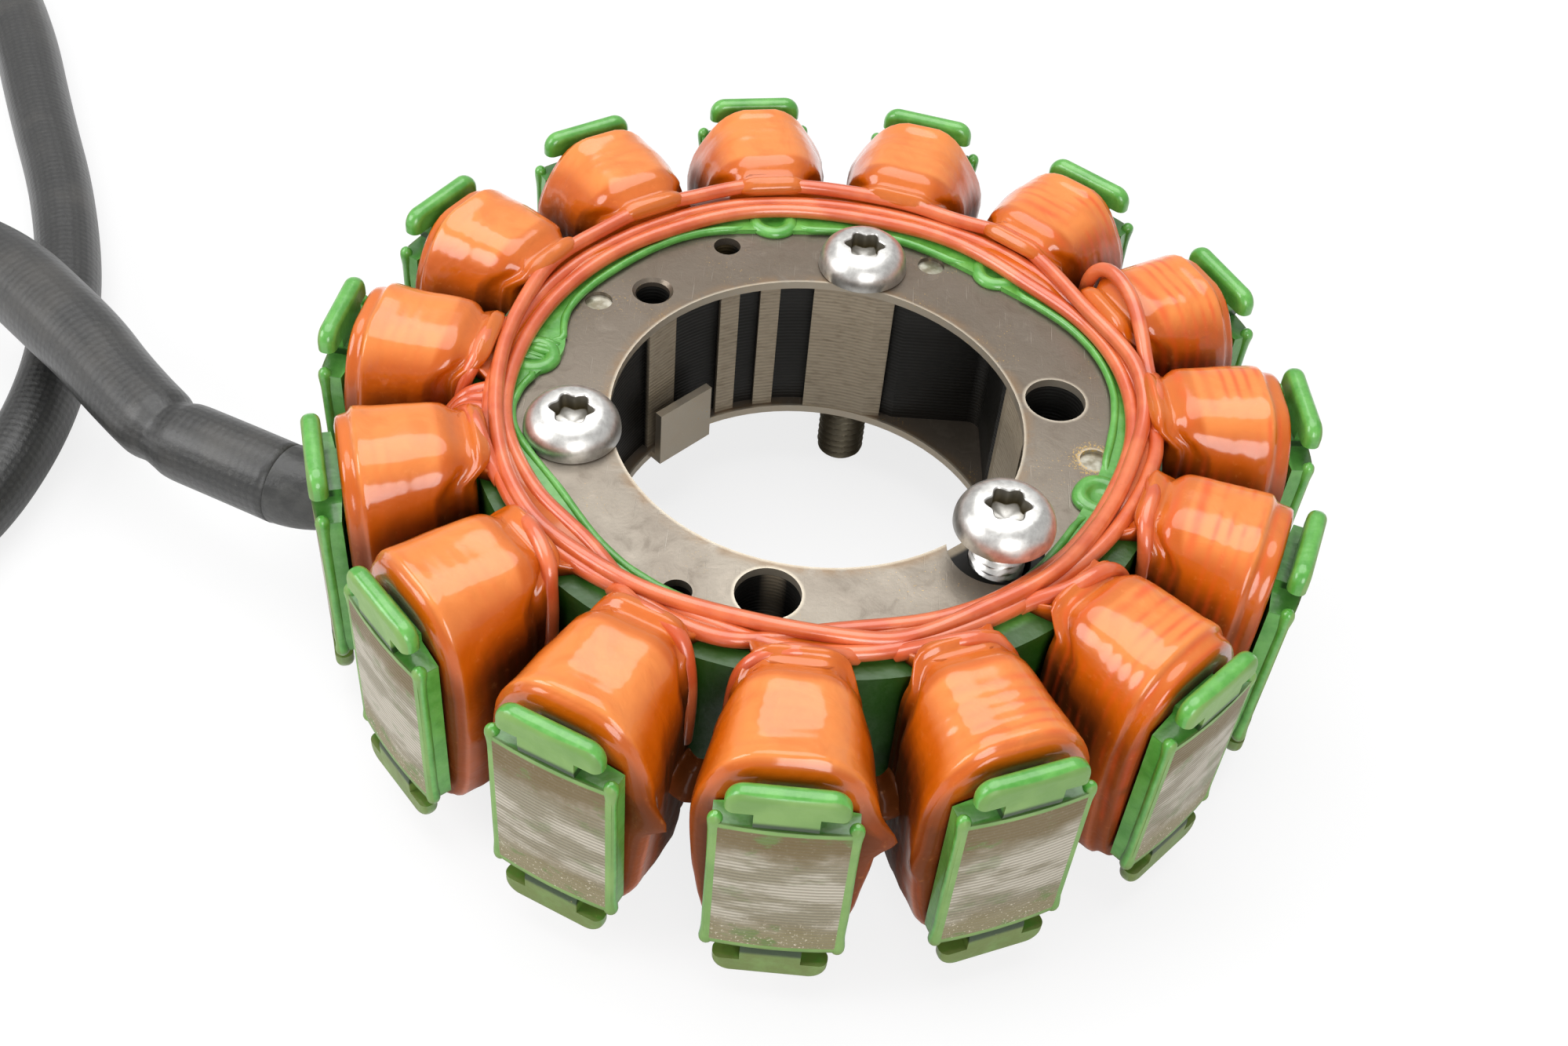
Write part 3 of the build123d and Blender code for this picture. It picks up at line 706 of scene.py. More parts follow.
def full_profile(ledge):
    """The root, the block with its rim, the ledge at the lip and the tip: each a distance from the
    axis, a half width and a crest."""
    return root_profile + (
        (ledge - 2.0, block_width - 0.2, block_crest - 0.15),
        (ledge - 0.5, block_width, block_crest + 0.05),
        (ledge + 0.05, block_width, block_crest),
        (ledge + 0.5, block_width - 0.25, block_crest - 0.55),
        (tip - 0.25, block_width - 0.6, block_crest - 1.0),
        (tip + 0.01, block_width - 1.6, block_crest - 2.0),
    )


def out_of_pole(pole, point):
    """From a pole's frame (outwards, across, up) to the frame of the part."""
    turned = math.radians(front_pole_angle + pole * pole_pitch)
    out, across, up = point
    return (
        out * math.cos(turned) - across * math.sin(turned),
        out * math.sin(turned) + across * math.cos(turned),
        up,
    )


print("the front winding's tip is at", [round(value, 2) for value in out_of_pole(0, (tip, 0.0, 0.0))])

# %% Relief of a winding
turn_pitch = 1.35
root_ridge = 0.10
root_end = 40.0
taper_start = 44.0
taper_end = 50.5
underside_draw = 1.0
slow_wave = 0.22
side_wave = 0.25
side_fade = 8.5
lip_rounding = (0.2, 0.2, 0.2, 0.3, 0.5, 0.8, 1.1, 1.2, 1.2, 1.0, 0.6, 0.3, 0.2, 0.2, 0.2)
fins = {0: (1, -5.5, 2.2, 2.6), 14: (1, -7.0, 2.6, 2.4), 1: (-1, -11.0, 0.9, 2.5)}
no_fin = (0, 0.0, 0.0, 1.0)


def drawn_in(pole, out, up):
    """How far the sides are drawn in: towards the underside, and behind a rounded lip."""
    narrow = underside_draw * soft_step(mid_height - up, -3.0, 9.0) * soft_step(out, taper_start, taper_end)
    return narrow + lip_rounding[pole] * soft_step(up, -4.0, 4.0) * soft_step(out, taper_start + 1, taper_end)


def fin_relief(pole, out, across, up):
    """A fin that the varnish left beside a tip: its side, height, reach and size."""
    side, fin_up, reach, size = fins.get(pole, no_fin)
    if across * side <= 0:
        return 0.0
    near = ((up - fin_up) / size) ** 2 + ((out - tip + 0.3) / 1.1) ** 2
    return reach * math.exp(-near * 1.6)


def waves(sample, side):
    """Slow waves of varnish, and shorter ones that grow down the sides."""
    return slow_wave * noise.noise(sample) + side_wave * side * noise.noise(sample * 2.1)


print("fins on windings:", [pole + 1 for pole in fins])

# %% One winding
ledge_widths = (1.1, 1.3, 2.2, 2.6, 2.4, 2.0, 1.6, 1.4, 1.2, 1.5, 1.8, 2.2, 2.0, 1.2, 1.2)
ridged_poles = (1, 2, 3)
station_step = 0.2
root_lean = 2.3
neck_half_width = 3.0
neck_crest = 0.6


def make_winding(pole):
    """The skin of one winding, with the numbers that its shader reads."""
    draw = random.Random(31 + pole)
    shift = draw.uniform(-0.3, 0.3)
    crest_shift = draw.uniform(-0.25, 0.15)
    phase = draw.random()
    turn_ridge = 0.012 if pole in ridged_poles else 0.005
    swirl = Vector((draw.uniform(0, 50), draw.uniform(0, 50), 0))
    ledge = tip - ledge_widths[pole]
    profile = full_profile(ledge)
    first = profile[0][0]
    count = round((tip - first) / station_step)
    points, deep_values, turn_values = [], [], []
    for station in range(count + 1):
        out = first + (tip - first) * station / count
        middle = math.sin(math.pi * station / count) ** 0.5
        shifted_out = out + shift * middle * (1 - soft_step(out, root_end + 3, root_end + 6))
        width, crest = smooth(profile, shifted_out)
        crest += crest_shift * middle
        ring = outline(width, crest)
        in_block = soft_step(out, block_start, block_start + 0.6) * (1 - soft_step(out, ledge, ledge + 0.5))
        ridge = turn_ridge * in_block + root_ridge * (1 - soft_step(out, root_end, root_end + 1.5))
        end_band = soft_step(out, tip - 0.7, tip - 0.1)
        for index, (across, up, n_across, n_up) in enumerate(ring):
            turns = out / turn_pitch + (index / len(ring) + 0.5) % 1.0 + phase
            side = min(max((crest - up) / side_fade, 0.0), 1.0)
            sample = Vector((out * 0.22, across * 0.16, up * 0.16)) + swirl
            relief = ridge * math.cos(2 * math.pi * turns) - drawn_in(pole, out, up) * abs(n_across)
            relief += waves(sample, side) * middle + fin_relief(pole, out, across, up)
            lean = root_lean * soft_step(up, 0.9, 3.4) * (1 - soft_step(out, root_end + 0.6, root_end + 4))
            points.append(out_of_pole(pole, (out - lean, across + n_across * relief, up + n_up * relief)))
            # The deep number grows down the sides and at the root and tip: varnish depth, and painted shade
            # for the lower sides.
            inner_side = side * (1 - soft_step(out, 46.0, 50.6) * 0.45)
            deep_values.append(min(inner_side + 0.22 * (1 - in_block) + 0.15 * end_band, 1.0))
            turn_values.append(turns)
    for out in (tip, first):
        for across, up, _, _ in outline(neck_half_width, neck_crest, flat=neck_half_width - 0.3):
            points.append(out_of_pole(pole, (out, across, up)))
            deep_values.append(1.0)
            turn_values.append(0.0)
    faces = ring_faces(count + 3, len(ring), closed=True)
    return add_mesh(f"winding_{pole + 1:02d}", points, faces, {"deep": deep_values, "turn": turn_values})


for pole in range(pole_count):
    winding = make_winding(pole)
    dress(winding, winding_finish)
    seat(winding, f"coil_{pole + 1:02d}")
print("windings:", pole_count, "with", len(winding.data.polygons), "faces each")

# %% [markdown]
# Crossover wires
# Three wires link the coils. They lie in a loose ring on the coat, change places as they go round,
# and ride up over the roots of the coils where the ring wanders outwards. Each is one closed curve
# along its keys: an angle, a radius and a height. A curve draws a round wire by itself, and its
# evaluated form is kept as a mesh.

# %% Enamelled wire
red = Paint("enamelled_wire")
flow = red.noise(5.0, 3.0, 0.5)
fine = red.noise(0.7, 3.0, 0.6)
enamel = red.mix(red.step(flow, 0.38, 0.64), tone(192, 80, 36), tone(210, 106, 58))
enamel = red.mix(red.step(fine, 0.60, 0.75) * 0.3, enamel, tone(170, 74, 22))
wire_finish = red.finish(
    Base_Color=enamel,
    Roughness=0.36 + (fine - 0.5) * 0.2,
    Normal=red.bump(flow, 0.08, red.bump(fine, 0.02)),
    Coat_Weight=0.7 + (flow - 0.5) * 0.4,
    Coat_Roughness=0.10,
)

# %% Wires from curves
wire_radius = 0.85
wire_roundness = 6


def add_curve(name, lines, radius, closed=False, order=3, resolution=6):
    """Round wires as one mesh, drawn by a curve. Each line is a list of points in mm, with a fourth
    number where the thickness changes."""
    curve = bpy.data.curves.new(name, "CURVE")
    curve.dimensions = "3D"
    curve.bevel_depth = radius * MM
    curve.bevel_resolution = wire_roundness
    curve.resolution_u = resolution
    curve.use_fill_caps = not closed
    for line in lines:
        spline = curve.splines.new("NURBS")
        spline.points.add(len(line) - 1)
        for point, place in zip(spline.points, line):
            point.co = (*(value * MM for value in place[:3]), 1.0)
            point.radius = (*place, 1.0)[3]
        spline.order_u = order
        spline.use_cyclic_u = closed
        spline.use_endpoint_u = not closed
    drawn = bpy.data.objects.new(name + "_curve", curve)
    bpy.context.scene.collection.objects.link(drawn)
    shape = drawn.evaluated_get(bpy.context.evaluated_depsgraph_get())
    wire = bpy.data.objects.new(name, bpy.data.meshes.new_from_object(shape))
    bpy.context.scene.collection.objects.link(wire)
    bpy.data.objects.remove(drawn)
    bpy.data.curves.remove(curve)
    return wire


# %% Keys of the crossover wires
strands = {
    "a": (
        (-179, 34.9, 2.7), (-171, 34.8, 2.6), (-163, 34.9, 2.5), (-155, 35.2, 2.4), (-146, 35.3, 2.3),
        (-139, 35.2, 2.3), (-131, 34.3, 2.3), (-123, 34.0, 2.4), (-115, 33.7, 2.4), (-105, 33.0, 2.4),
        (-95, 33.0, 2.4), (-88, 33.2, 2.3), (-81, 33.7, 2.1), (-74, 34.4, 1.9), (-65, 33.6, 2.1),
        (-57, 33.1, 2.4), (-48, 33.5, 2.5), (-39, 33.6, 2.5), (-30, 33.3, 2.4), (-22, 33.5, 2.3),
        (-14, 33.8, 2.2), (-6, 34.4, 2.2), (4, 36.0, 2.5), (14, 36.5, 3.0), (20, 36.2, 3.0),
        (27, 35.5, 3.0), (33, 35.2, 3.0), (45, 36.7, 2.8), (52, 37.5, 2.8), (57, 38.0, 3.1),
        (66, 36.4, 2.8), (75, 37.0, 3.0), (87, 36.8, 3.1), (98, 37.3, 3.2), (108, 37.7, 3.2),
        (118, 36.8, 3.0), (127, 37.5, 3.2), (138, 36.5, 3.0), (149, 37.3, 3.0), (161, 35.8, 2.9),
        (172, 35.3, 2.8),
    ),
    "b": (
        (-177, 34.0, 1.45), (-168, 34.0, 1.45), (-160, 33.6, 1.45), (-154, 33.2, 1.45), (-147, 33.0, 1.45),
        (-140, 32.3, 1.45), (-132, 32.1, 1.45), (-125, 33.2, 1.4), (-116, 34.8, 1.5), (-108, 35.4, 1.6),
        (-101, 35.4, 1.6), (-94, 33.9, 1.4), (-88, 32.5, 1.4), (-82, 32.0, 1.45), (-76, 31.9, 1.45),
        (-68, 32.2, 1.45), (-61, 32.2, 1.45), (-54, 32.4, 1.45), (-39, 32.6, 1.45), (-32, 32.5, 1.45),
        (-26, 32.7, 1.45), (-18, 32.9, 1.45), (-10, 33.5, 1.45), (-2, 34.3, 1.45), (6, 34.8, 1.45),
        (13, 35.1, 1.5), (20, 35.2, 1.5), (26, 35.1, 1.5), (32, 34.8, 1.45), (38, 34.3, 1.45),
        (45, 33.7, 1.45), (52, 33.8, 1.45), (59, 34.2, 1.45), (68, 34.6, 1.45), (79, 34.2, 1.45),
        (93, 34.5, 1.45), (104, 34.8, 1.45), (113, 34.6, 1.45), (124, 34.1, 1.45), (136, 34.3, 1.45),
        (151, 34.1, 1.45), (167, 34.0, 1.45),
    ),
    "c": (
        (-170, 35.7, 1.5), (-160, 35.7, 1.5), (-150, 36.0, 1.6), (-138, 35.9, 1.6), (-125, 35.0, 1.5),
        (-114, 33.6, 1.4), (-104, 33.8, 1.4), (-95, 35.0, 1.5), (-86, 35.2, 1.5), (-76, 35.3, 1.5),
        (-65, 34.4, 1.5), (-57, 34.1, 1.5), (-48, 34.1, 1.5), (-38, 34.2, 1.6), (-32, 34.6, 1.7),
        (-27, 34.9, 1.8), (-22, 35.2, 1.9), (-16, 35.7, 1.9), (-11, 36.1, 1.9), (-6, 36.6, 1.9),
        (-2, 36.8, 1.8), (3, 36.5, 1.6), (9, 36.0, 1.5), (20, 35.9, 1.5), (33, 36.0, 1.5),
        (45, 36.0, 1.5), (55, 36.4, 1.5), (66, 35.9, 1.5), (80, 36.0, 1.5), (95, 36.0, 1.5),
        (108, 36.3, 1.5), (120, 36.0, 1.5), (135, 35.7, 1.5), (150, 35.8, 1.5), (165, 35.6, 1.5),
        (178, 35.6, 1.5),
    ),
}


print("keys:", {letter: len(keys) for letter, keys in strands.items()})


# %% Ring of crossover wires
def ring_place(angle, radius, height):
    """A place from an angle round the axis, a radius and a height."""
    turned = math.radians(angle)
    return (radius * math.cos(turned), radius * math.sin(turned), height)


for letter, keys in strands.items():
    line = [ring_place(*key) for key in keys]
    name = f"crossover_strand_{letter}"
    strand = add_curve(name, [line], wire_radius, closed=True, order=4, resolution=8)
    dress(strand, wire_finish)
    seat(strand, f"crossover_wire_{letter}")
print("crossover strands:", len(strands), "with", len(strand.data.vertices), "points in the last")

# %% [markdown]
# Varnish round the ring
# Dipping leaves varnish wherever wires lie close. Between the strands it is a sagging ribbon, which
# climbs onto the root of every coil. One strip of rings of points, swept round the axis, does for
# all of it: its inner edge hides in the inner strand, and its outer edge reaches out at each pole.

# %% Radius of a strand
def strand_radius(letter, angle):
    """Radius of a strand at an angle, from its keys."""
    keys = [(key_angle, radius) for key_angle, radius, _ in strands[letter]]
    wrapped = [(a - 360, r) for a, r in keys[-2:]] + keys + [(a + 360, r) for a, r in keys[:2]]
    return smooth(wrapped, angle)[0]


print("strand a over the front pole:", round(strand_radius("a", front_pole_angle), 2))

# %% Varnish ribbon
coat_level = 0.45
ribbon_level = 1.95
ribbon_wave = 0.35
saddle_radius = 38.7
saddle_rise = 1.8
saddle_half_angle = 8.5
ribbon_step = 2
section_steps = 8
points, deep_values = [], []
for angle in range(-180, 180, ribbon_step):
    radii = [strand_radius(letter, angle) for letter in strands]
    inner, outer = min(radii) - 0.2, max(radii) + 0.3
    off_pole = abs((angle - front_pole_angle + pole_pitch / 2) % pole_pitch - pole_pitch / 2)
    saddle = 1 - soft_step(off_pole, saddle_half_angle * 0.55, saddle_half_angle)
    outer += max(saddle_radius - outer, 0.0) * saddle
    for step in range(section_steps):
        share = step / (section_steps - 1)
        radius = inner + (outer - inner) * share
        wave = noise.noise(Vector((radius * 0.5, angle * 0.11, 3.0)))
        rise = saddle_rise * saddle * soft_step(radius, max(radii) + 0.4, saddle_radius)
        points.append(ring_place(angle, radius, ribbon_level + ribbon_wave * wave + rise))
    for radius in (outer - 0.3, inner + 0.3):
        points.append(ring_place(angle, radius, coat_level))
    deep_values += [0.52 - 0.25 * saddle] * section_steps + [1.0, 1.0]
faces = ring_faces(360 // ribbon_step, section_steps + 2, closed=True)
ribbon = add_mesh("ring_varnish", points, faces, {"deep": deep_values})
dress(ribbon, winding_finish)
seat(ribbon)
print("ribbon:", len(faces), "faces")

# %% [markdown]
# Wires at the roots
# Every coil begins and ends at the ring. The last turn shows as a wire of its own: it comes up out
# of the ring, leans over the root of the coil and goes down one side into the slot. One route in the
# pole's frame, mirrored and loosened a little from coil to coil, serves them all. One coil has a tall
# arch of its own, and at the back the varnish hides them.

# %% Root wires
root_route = (
    (34.9, -5.4, 1.1), (35.7, -4.0, 2.0), (36.5, -1.8, 3.2), (36.9, 0.4, 3.8), (37.1, 2.6, 3.6),
    (37.5, 4.4, 2.7), (38.1, 5.5, 0.9), (38.7, 6.0, -2.0), (39.0, 6.1, -6.0), (39.0, 5.9, -10.0),
)
arch_pole = 5
arch_route = (
    (39.4, 6.5, -5.0), (39.0, 6.5, 0.0), (38.5, 6.3, 3.2), (39.6, 5.0, 5.4), (39.7, 1.6, 5.7),
    (39.2, -2.0, 5.2), (38.1, -5.5, 4.0), (37.2, -8.0, 2.7), (36.6, -9.8, 1.9), (36.0, -11.5, 1.4),
)
root_poles = (0, 1, 2, 3, 4, 11, 12, 13, 14)
root_lifts = {13: 0.5, 2: 0.4}
hidden_points = 2
hidden_depth = 0.6
hidden_stride = 0.9
loose_out = 0.25
loose_across = 0.5
root_lines = [[out_of_pole(arch_pole, point) for point in arch_route]]
for pole in root_poles:
    draw = random.Random(77 + pole)
    hand = 1 if pole % 3 else -1
    lift = root_lifts.get(pole, 0.0)
    line = []
    for index, (out, across, up) in enumerate(root_route):
        loose = math.sin(math.pi * index / (len(root_route) - 1))
        if index < hidden_points:
            off_pole = math.degrees(math.atan2(hand * across, out))
            angle = (front_pole_angle + pole * pole_pitch + off_pole + 180) % 360 - 180
            ring_edge = max(strand_radius(letter, angle) for letter in strands)
            out = ring_edge - hidden_depth + hidden_stride * index
        out += draw.uniform(-loose_out, loose_out) * loose
        across = hand * across + draw.uniform(-loose_across, loose_across) * loose
        up += (lift + draw.uniform(-0.25, 0.15)) * loose
        line.append(out_of_pole(pole, (out, across, up)))
    root_lines.append(line)
root_wires = add_curve("root_wires", root_lines, wire_radius, order=4)
dress(root_wires, wire_finish)
seat(root_wires)
print("root wires:", len(root_lines))

# %% [markdown]
# Lead wires
# Three wires leave the ring for the lead. They go over the edge of the coat, down one slot side by
# side, and turn outwards into the collar one above the other. Hardly any of it is seen, so three
# plain routes that differ by their lane are enough.

# %% Lead wires down their slot
lead_slot = 11.5
lead_level = -14.0
lane_pitch = 0.9
level_pitch = 1.8
lead_lines = []
for lane in (-1, 0, 1):
    across, level = lane_pitch * lane, lead_level + level_pitch * lane
    route = (
        (35.9, 1.7 * lane, 0.9), (37.4, 1.2 * lane, 0.9), (38.5, across, 0.2), (39.6, across, -1.5),
        (40.6 + abs(lane), across, -4.5), (41.6 + abs(lane), across, -9.0), (43.0, across, level),
        (47.0, across, level), (53.0, across, level),
    )
    lead_lines.append([out_of_pole(lead_slot, point) for point in route])
lead_in = add_curve("lead_in_wires", lead_lines, wire_radius, order=4)
dress(lead_in, wire_finish)
seat(lead_in, "lead_wires")
print("lead wires:", len(lead_lines))

# %% [markdown]
# Webs of varnish between the coils
# Where two coils come within three millimetres, varnish has bridged them: a glassy saddle deep in
# the slot, painted with the darkest varnish colour as shade for the slot. Each is a small closed
# sheet that climbs at both sides and thins out at its ends. Its rings of points go over the top from
# one side to the other, and back underneath.

# %% Webs
web_start = 41.5
web_rows = 16
web_lanes = 9
web_thickness = 1.1
web_climb = 1.5
web_ripple = 0.2
web_bite = 1.25
half_pitch = math.radians(pole_pitch / 2)
points, faces = [], []
for slot_index in range(pole_count):
    draw = random.Random(400 + slot_index)
    web_end = draw.uniform(45.5, 48.0)
    level = draw.uniform(-10.5, -8.0)
    slope = draw.uniform(-0.35, -0.05)
    faces += shifted(ring_faces(web_rows, 2 * web_lanes, capped=True), len(points))
    for row in range(web_rows):
        share = row / (web_rows - 1)
        out = web_start + (web_end - web_start) * share
        gap = out * math.sin(half_pitch) - block_width + web_bite
        thick = web_thickness * math.sin(math.pi * share) ** 0.5
        for side in (1, -1):
            for lane in range(web_lanes):
                across = side * (1 - 2 * lane / (web_lanes - 1)) * gap
                ripple = web_ripple * noise.noise(Vector((out, across, slot_index * 7.0)))
                up = level + slope * (out - web_start) + web_climb * (across / gap) ** 2 + ripple
                points.append(out_of_pole(slot_index + 0.5, (out, across, up + side * thick / 2)))
# Every point of the webs is fully deep, so they take the darkest varnish colour: painted shade in the slots.
webs = add_mesh("slot_webs", points, faces, {"deep": [1.0] * len(points)})
dress(webs, winding_finish)
seat(webs)
print("webs:", pole_count, "with", len(faces) // pole_count, "faces each")

# %% [markdown]
# Beads of the coat
# Melted powder draws back from an edge into a bead. One runs along the masked edge on the plate, and
# one down each side of every pole head, thicker at the corners. Both are round curves that are half
# sunk in the coat. Where four locating pads of the mask pressed into the powder, a raised ring stands
# round a shallow pocket: a turned shell about the pad's own centre. The masked edge's bead dives
# under the coat inside the pads.


# %% Turned shells
def turned_shell(rings, sides, tip_low, tip_high, place):
    """A closed shell from rings, each a function from an angle to a radius and a height."""
    shell = [(0.0, 0.0, tip_low)]
    for ring in rings:
        for side in range(sides):
            angle = 2 * math.pi * side / sides
            radius, height = ring(angle)
            shell.append((radius * math.cos(angle), radius * math.sin(angle), height))
    shell.append((0.0, 0.0, tip_high))
    faces = [(0, (i + 1) % sides + 1, i + 1) for i in range(sides)]
    faces += shifted(ring_faces(len(rings), sides), 1)
    last, top = len(shell) - 1 - sides, len(shell) - 1
    faces += [(top, last + i, last + (i + 1) % sides) for i in range(sides)]
    return [tuple(Vector(point) + Vector(place)) for point in shell], faces


plain_disc = [lambda angle: (1.0, 0.0)]
print("faces of a disc with eight sides:", len(turned_shell(plain_disc, 8, 0.0, 0.0, (0, 0, 0))[1]))

# %% Raised rings round the pads of the mask
pad_places = ((171.6, 9.6), (102.4, 11.2), (53.8, 11.2), (-16.3, 9.1))
pad_profile = (
    (3.05, 0.02), (3.05, 0.3), (2.9, 0.62), (2.6, 0.84), (2.2, 0.95), (1.8, 0.90), (1.45, 0.66),
    (1.2, 0.40), (0.9, 0.27), (0.45, 0.24),
)
pad_foot = 0.02
pad_floor = 0.24
pad_sides = 48
pad_unevenness = 0.06


def pad_ring(reach, height, number):
    """A ring of a pad, slightly out of round, with a form of its own for each pad."""

    def ring(turn):
        sample = Vector((math.cos(turn), math.sin(turn), number * 5.0))
        return reach * (1 + pad_unevenness * noise.noise(sample)), height

    return ring


pad_centres = [ring_place(angle, bore_radius + land, 0.0) for angle, land in pad_places]
points, faces = [], []
for number, centre in enumerate(pad_centres):
    rings = [pad_ring(reach, height, number) for reach, height in pad_profile]
    shell, shell_faces = turned_shell(rings, pad_sides, pad_foot, pad_floor, centre)
    faces += shifted(shell_faces, len(points))
    points += shell
pads = add_mesh("mask_pads", points, faces)
dress(pads, bead_finish)
seat(pads)
print("pads of the mask:", len(pad_places))

# %% Bead along the masked edge
coat_top = 0.6
mask_reach = 36.2
bead_radius = 0.45
bead_height = 0.5
bead_inset = 0.22
sunk_height = 0.12
sunk_share = 0.15
pad_cover = 2.75
edge_points = set()
for place in corners("insulation_coat"):
    if abs(place.z - coat_top) < 0.02 and place.xy.length < mask_reach:
        edge_points.add((round(math.atan2(place.y, place.x), 3), round(place.xy.length, 2)))
bead_line = []
for angle, radius in sorted(edge_points):
    wobble = noise.noise(Vector((angle * 20, 1.0, 0.0)))
    place = ring_place(math.degrees(angle), radius + bead_inset, bead_height)
    if min(math.dist(place[:2], centre[:2]) for centre in pad_centres) < pad_cover:
        bead_line.append((*place[:2], sunk_height, sunk_share))
    else:
        bead_line.append((*place, 1.0 + 0.3 * wobble))
mask_bead = add_curve("mask_bead", [bead_line], bead_radius, closed=True, resolution=2)
dress(mask_bead, bead_finish)
seat(mask_bead)
print("bead along the masked edge:", len(bead_line), "points")

# %% Beads down the sides of the heads
rail_radius = 0.6
rail_out = 53.55
rail_across = 6.4
rail_keys = (
    (0.35, 0.35), (0.15, 0.95), (-0.4, 1.3), (-1.3, 1.15), (-2.6, 0.95), (-6.0, 1.0), (-10.4, 0.95),
)
lower_keys = tuple((2 * mid_height - up, share) for up, share in reversed(rail_keys[:-1]))
rail_lines = []
for pole in range(pole_count):
    for hand in (-1, 1):
        draw = random.Random(900 + 2 * pole + hand)
        rail = []
        for up, share in rail_keys + lower_keys:
            place = out_of_pole(pole, (rail_out, hand * rail_across, up))
            rail.append((*place, share * draw.uniform(0.92, 1.06)))
        rail_lines.append(rail)
head_beads = add_curve("head_beads", rail_lines, rail_radius, resolution=4)
dress(head_beads, bead_finish)
seat(head_beads)
print("beads down the heads:", len(rail_lines))

# %% [markdown]
# Weave of the sleeve
# The sleeve is woven from flat black yarn. Its two families of threads cross over and under each
# other, which the product of two sine waves along the tube's own length and girth gives.

# %% Woven sleeve
thread_rows = 1.0
threads_round = 28.0
woven = Paint("woven_sleeve")
along = woven.node("ShaderNodeAttribute", {"attribute_name": "along"}, out="Fac")
around = woven.node("ShaderNodeAttribute", {"attribute_name": "round"}, out="Fac")
left = woven.math("SINE", (along * thread_rows + around * threads_round) * math.pi)
right = woven.math("SINE", (along * thread_rows - around * threads_round) * math.pi)
weave = left * right * 0.5 + 0.5
fluff_and_glints = woven.noise(0.5, 4.0, 0.7)
wear = woven.noise(14.0, 4.0, 0.6)
black = woven.mix(woven.step(weave, 0.3, 0.9), tone(26, 26, 25), tone(38, 38, 36))
black = woven.mix(woven.step(wear, 0.50, 0.70) * 0.5, black, tone(62, 59, 54))
# Pale specks: loose fibres, and painted glints of the yarn's sheen.
black = woven.mix(woven.step(fluff_and_glints, 0.62, 0.72) * 0.25, black, tone(110, 108, 104))
sleeve_finish = woven.finish(
    Base_Color=black,
    Roughness=0.46 + (wear - 0.5) * 0.3,
    Normal=woven.bump(weave, 0.06, woven.bump(fluff_and_glints, 0.12, woven.bump(wear, 0.5))),
    Coat_Weight=0.32 + (wear - 0.5) * 0.4,
    Coat_Roughness=0.30,
)
dress(sleeve, sleeve_finish)

# %% [markdown]
# Plain finishes
# The collar, the tail's wires, the terminals and the pins are each one plain stuff, seen small. Soft
# patches between two close colours, which also change the sheen and the relief a little, keep them
# from looking like paint, so one recipe serves them all. The moulded housing is also scuffed.


# %% A mottled finish
def mottled(name, size, limits, low, high, rough, relief, metallic=0.0, spread=0.3, detail=4.0, grain=0.6):
    """A finish with patches of a size in mm between two colours."""
    paint = Paint(name)
    patches = paint.noise(size, detail, grain)
    return paint.finish(
        Base_Color=paint.mix(paint.step(patches, *limits), low, high),
        Metallic=metallic,
        Roughness=rough + (patches - 0.5) * spread,
        Normal=paint.bump(patches, relief),
    )


# %% Collar, tail, terminals and pins
collar_tones = (tone(44, 44, 43), tone(58, 58, 56))
tail_tones = (tone(30, 30, 31), tone(64, 62, 60))
terminal_tones = (tone(196, 190, 176), tone(150, 142, 124))
pin_tones = (tone(134, 126, 106), tone(190, 186, 172))
plain_finishes = {
    "lead_collar": mottled("shrunk_collar", 1.8, (0.4, 0.65), *collar_tones, 0.42, 0.15, spread=0.4),
    "lead_tail": mottled("wire_insulation", 1.2, (0.45, 0.7), *tail_tones, 0.38, 0.03),
    "connector_terminals": mottled(
        "tinned_terminal", 0.8, (0.4, 0.65), *terminal_tones, 0.30, 0.02, metallic=0.9
    ),
    "stack_pins": mottled(
        "drawn_pin", 1.8, (0.36, 0.64), *pin_tones, 0.36, 0.05, metallic=0.7, detail=3.0, grain=0.5
    ),
}
for name, finish in plain_finishes.items():
    dress(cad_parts[name], finish)

# %% Moulded housing
moulded = Paint("moulded_housing")
texture = moulded.noise(0.25, 3.0, 0.6)
scuffs = moulded.noise(4.0, 5.0, 0.7)
black = moulded.mix(moulded.step(scuffs, 0.5, 0.7) * 0.5, tone(34, 34, 36), tone(70, 69, 68))
housing_finish = moulded.finish(
    Base_Color=black, Roughness=0.46 + (scuffs - 0.5) * 0.3, Normal=moulded.bump(texture, 0.03)
)
dress(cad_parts["connector_housing"], housing_finish)

# %% [markdown]
# Screws
# The screws are zinc plated: bright, but mottled by a soft crystal pattern and small dull spots. The
# drive is darker, with yellowish dirt and painted shade on its walls, and the threads deep in the
# hole are darkened as painted shade. Their meshes carry one number that says how far inside a point
# is. Turned parts are rings of points round an axis: the drive's six lobes are a wave in the radius
# of the inner rings, and the thread is a wave that moves on by one pitch in each turn.

# %% Zinc plating
zinc = Paint("zinc_plated")
mottle = zinc.noise(0.9, 4.0, 0.65)
spots = zinc.noise(0.35, 3.0, 0.7)
silver = zinc.mix(zinc.step(mottle, 0.30, 0.70), tone(192, 190, 186), tone(216, 215, 211))
dull_spots = zinc.step(spots, 0.62, 0.72)
silver = zinc.mix(dull_spots * 0.35, silver, tone(150, 144, 132))
inside = zinc.node("ShaderNodeAttribute", {"attribute_name": "inside"}, out="Fac")
# Yellowish brown inside: dirt in the drive, and painted shade on the drive's walls and deep in the hole.
silver = zinc.mix(inside, silver, tone(84, 74, 48))
screw_finish = zinc.finish(
    Base_Color=silver,
    Metallic=0.96 - dull_spots * 0.2 - inside * 0.2,
    Roughness=0.36 + (mottle - 0.5) * 0.14 + inside * 0.1,
    Normal=zinc.bump(mottle, 0.006, zinc.bump(spots, 0.003)),
)

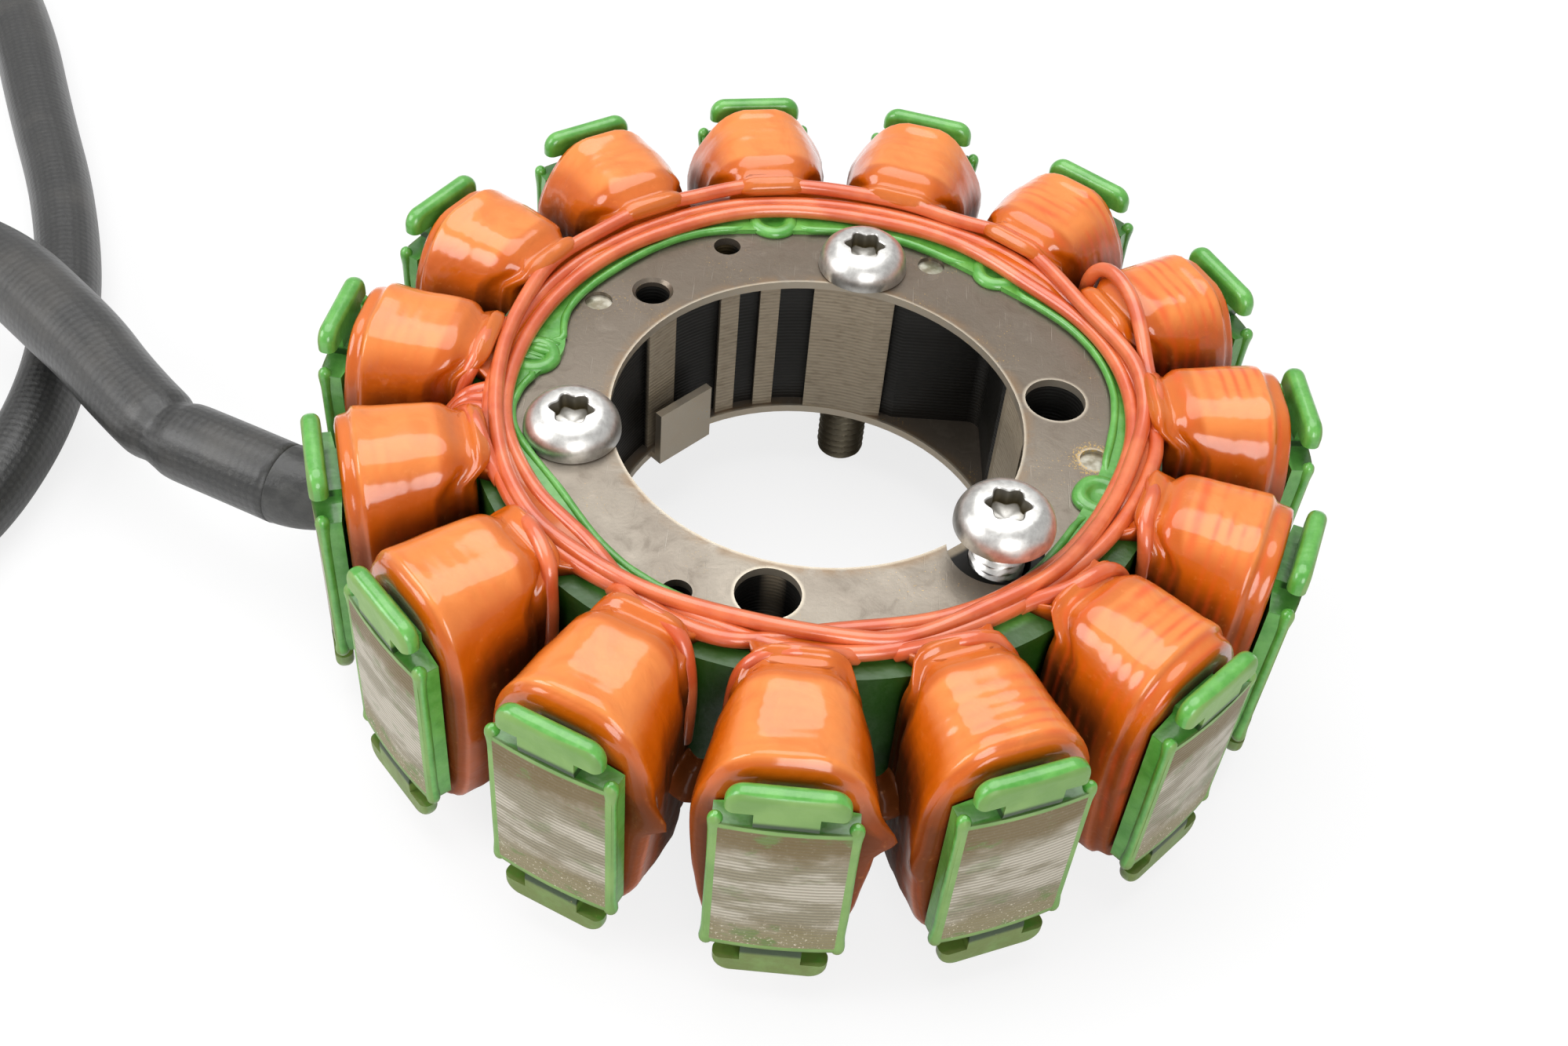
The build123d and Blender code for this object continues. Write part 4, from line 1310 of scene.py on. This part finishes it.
# %% Rings of a button head
shank_radius = 3.0
head_radius = 5.25
head_top = 3.3
dome_base = 0.5
dome_centre = 2.31
dome_radius = 2.94
dome_angle = 72.2
dome_steps = 12
lobe_count = 6
drive_radius = 2.10
drive_wave = 0.27
drive_profile = (
    (1.0, 0.16, head_top), (1.0, 0.03, head_top - 0.10), (1.0, 0.0, head_top - 0.2), (1.0, 0.0, 2.2),
    (1.0, 0.0, 1.4), (0.97, 0.0, 1.3), (0.9, 0.0, 1.25), (0.4, 0.0, 1.2),
)
drive_shades = (0.0, 0.1, 0.7, 0.9, 1.0, 0.8, 0.45, 0.25)


def plain_ring(radius, height):
    """A round ring."""
    return lambda angle: (radius, height)


def drive_ring(share, grow, height):
    """A ring of the drive, whose radius waves once for each lobe."""
    return lambda angle: (share * (drive_radius + drive_wave * math.cos(lobe_count * angle)) + grow, height)


underside = ((shank_radius, 0.0), (head_radius - 0.15, 0.0), (head_radius, 0.14), (head_radius, dome_base))
head_rings = [plain_ring(*key) for key in underside]
for step in range(1, dome_steps + 1):
    bend = math.radians(dome_angle) * step / dome_steps
    dome_height = dome_base + dome_radius * math.sin(bend)
    head_rings.append(plain_ring(dome_centre + dome_radius * math.cos(bend), dome_height))
head_rings += [drive_ring(*key) for key in drive_profile]
print("rings of a head:", len(head_rings))

# %% Rings of a threaded shank
screw_length = 30.0
head_bite = 0.3
thread_crest = 2.98
thread_depth = 0.55
thread_pitch = 1.0
rings_in_a_pitch = 8
tip_radius = 2.15
tip_slope = 1.1


def thread_ring(height):
    """A ring of the thread, cut back by a cone at the tip."""
    most = tip_radius + tip_slope * (height + screw_length)

    def ring(angle):
        share = (height / thread_pitch - angle / (2 * math.pi)) % 1.0
        return min(thread_crest - thread_depth * (1 - abs(2 * share - 1)), most), height

    return ring


ring_pitch = thread_pitch / rings_in_a_pitch
ring_count = round((screw_length + head_bite) / ring_pitch) + 1
shank_rings = [thread_ring(-screw_length + step * ring_pitch) for step in range(ring_count)]
print("rings of a shank:", ring_count)

# %% Three screws
screw_places = {"a": (81.6, 26.8, 0.0), "b": (-166.4, 26.8, 0.0), "c": (-43.0, 26.65, 3.9)}
head_sides = 96
shank_sides = 40
drive_pit = 1.0
crease_angle = 35
# The drive's rings take their shares of dirt and painted shade, darkest on its walls.
drive_inside = [shade for shade in drive_shades for side in range(head_sides)] + [drive_shades[-1]]
for letter, key in screw_places.items():
    place = ring_place(*key)
    points, faces = turned_shell(head_rings, head_sides, 0.0, drive_pit, place)
    shank_points, shank_faces = turned_shell(shank_rings, shank_sides, -screw_length, head_bite, place)
    faces += shifted(shank_faces, len(points))
    shades = [0.0] * (len(points) - len(drive_inside)) + drive_inside
    # Threads more than 9 mm down in the hole are darkened as painted shade.
    shades += [0.9 * soft_step(-height, 9.0, 16.0) for _, _, height in shank_points]
    screw = add_mesh(f"button_screw_{letter}", points + shank_points, faces, {"inside": shades})
    screw.data.set_sharp_from_angle(angle=math.radians(crease_angle))
    dress(screw, screw_finish)
    seat(screw, f"mounting_screw_{letter}")
print("screws:", len(screw_places))
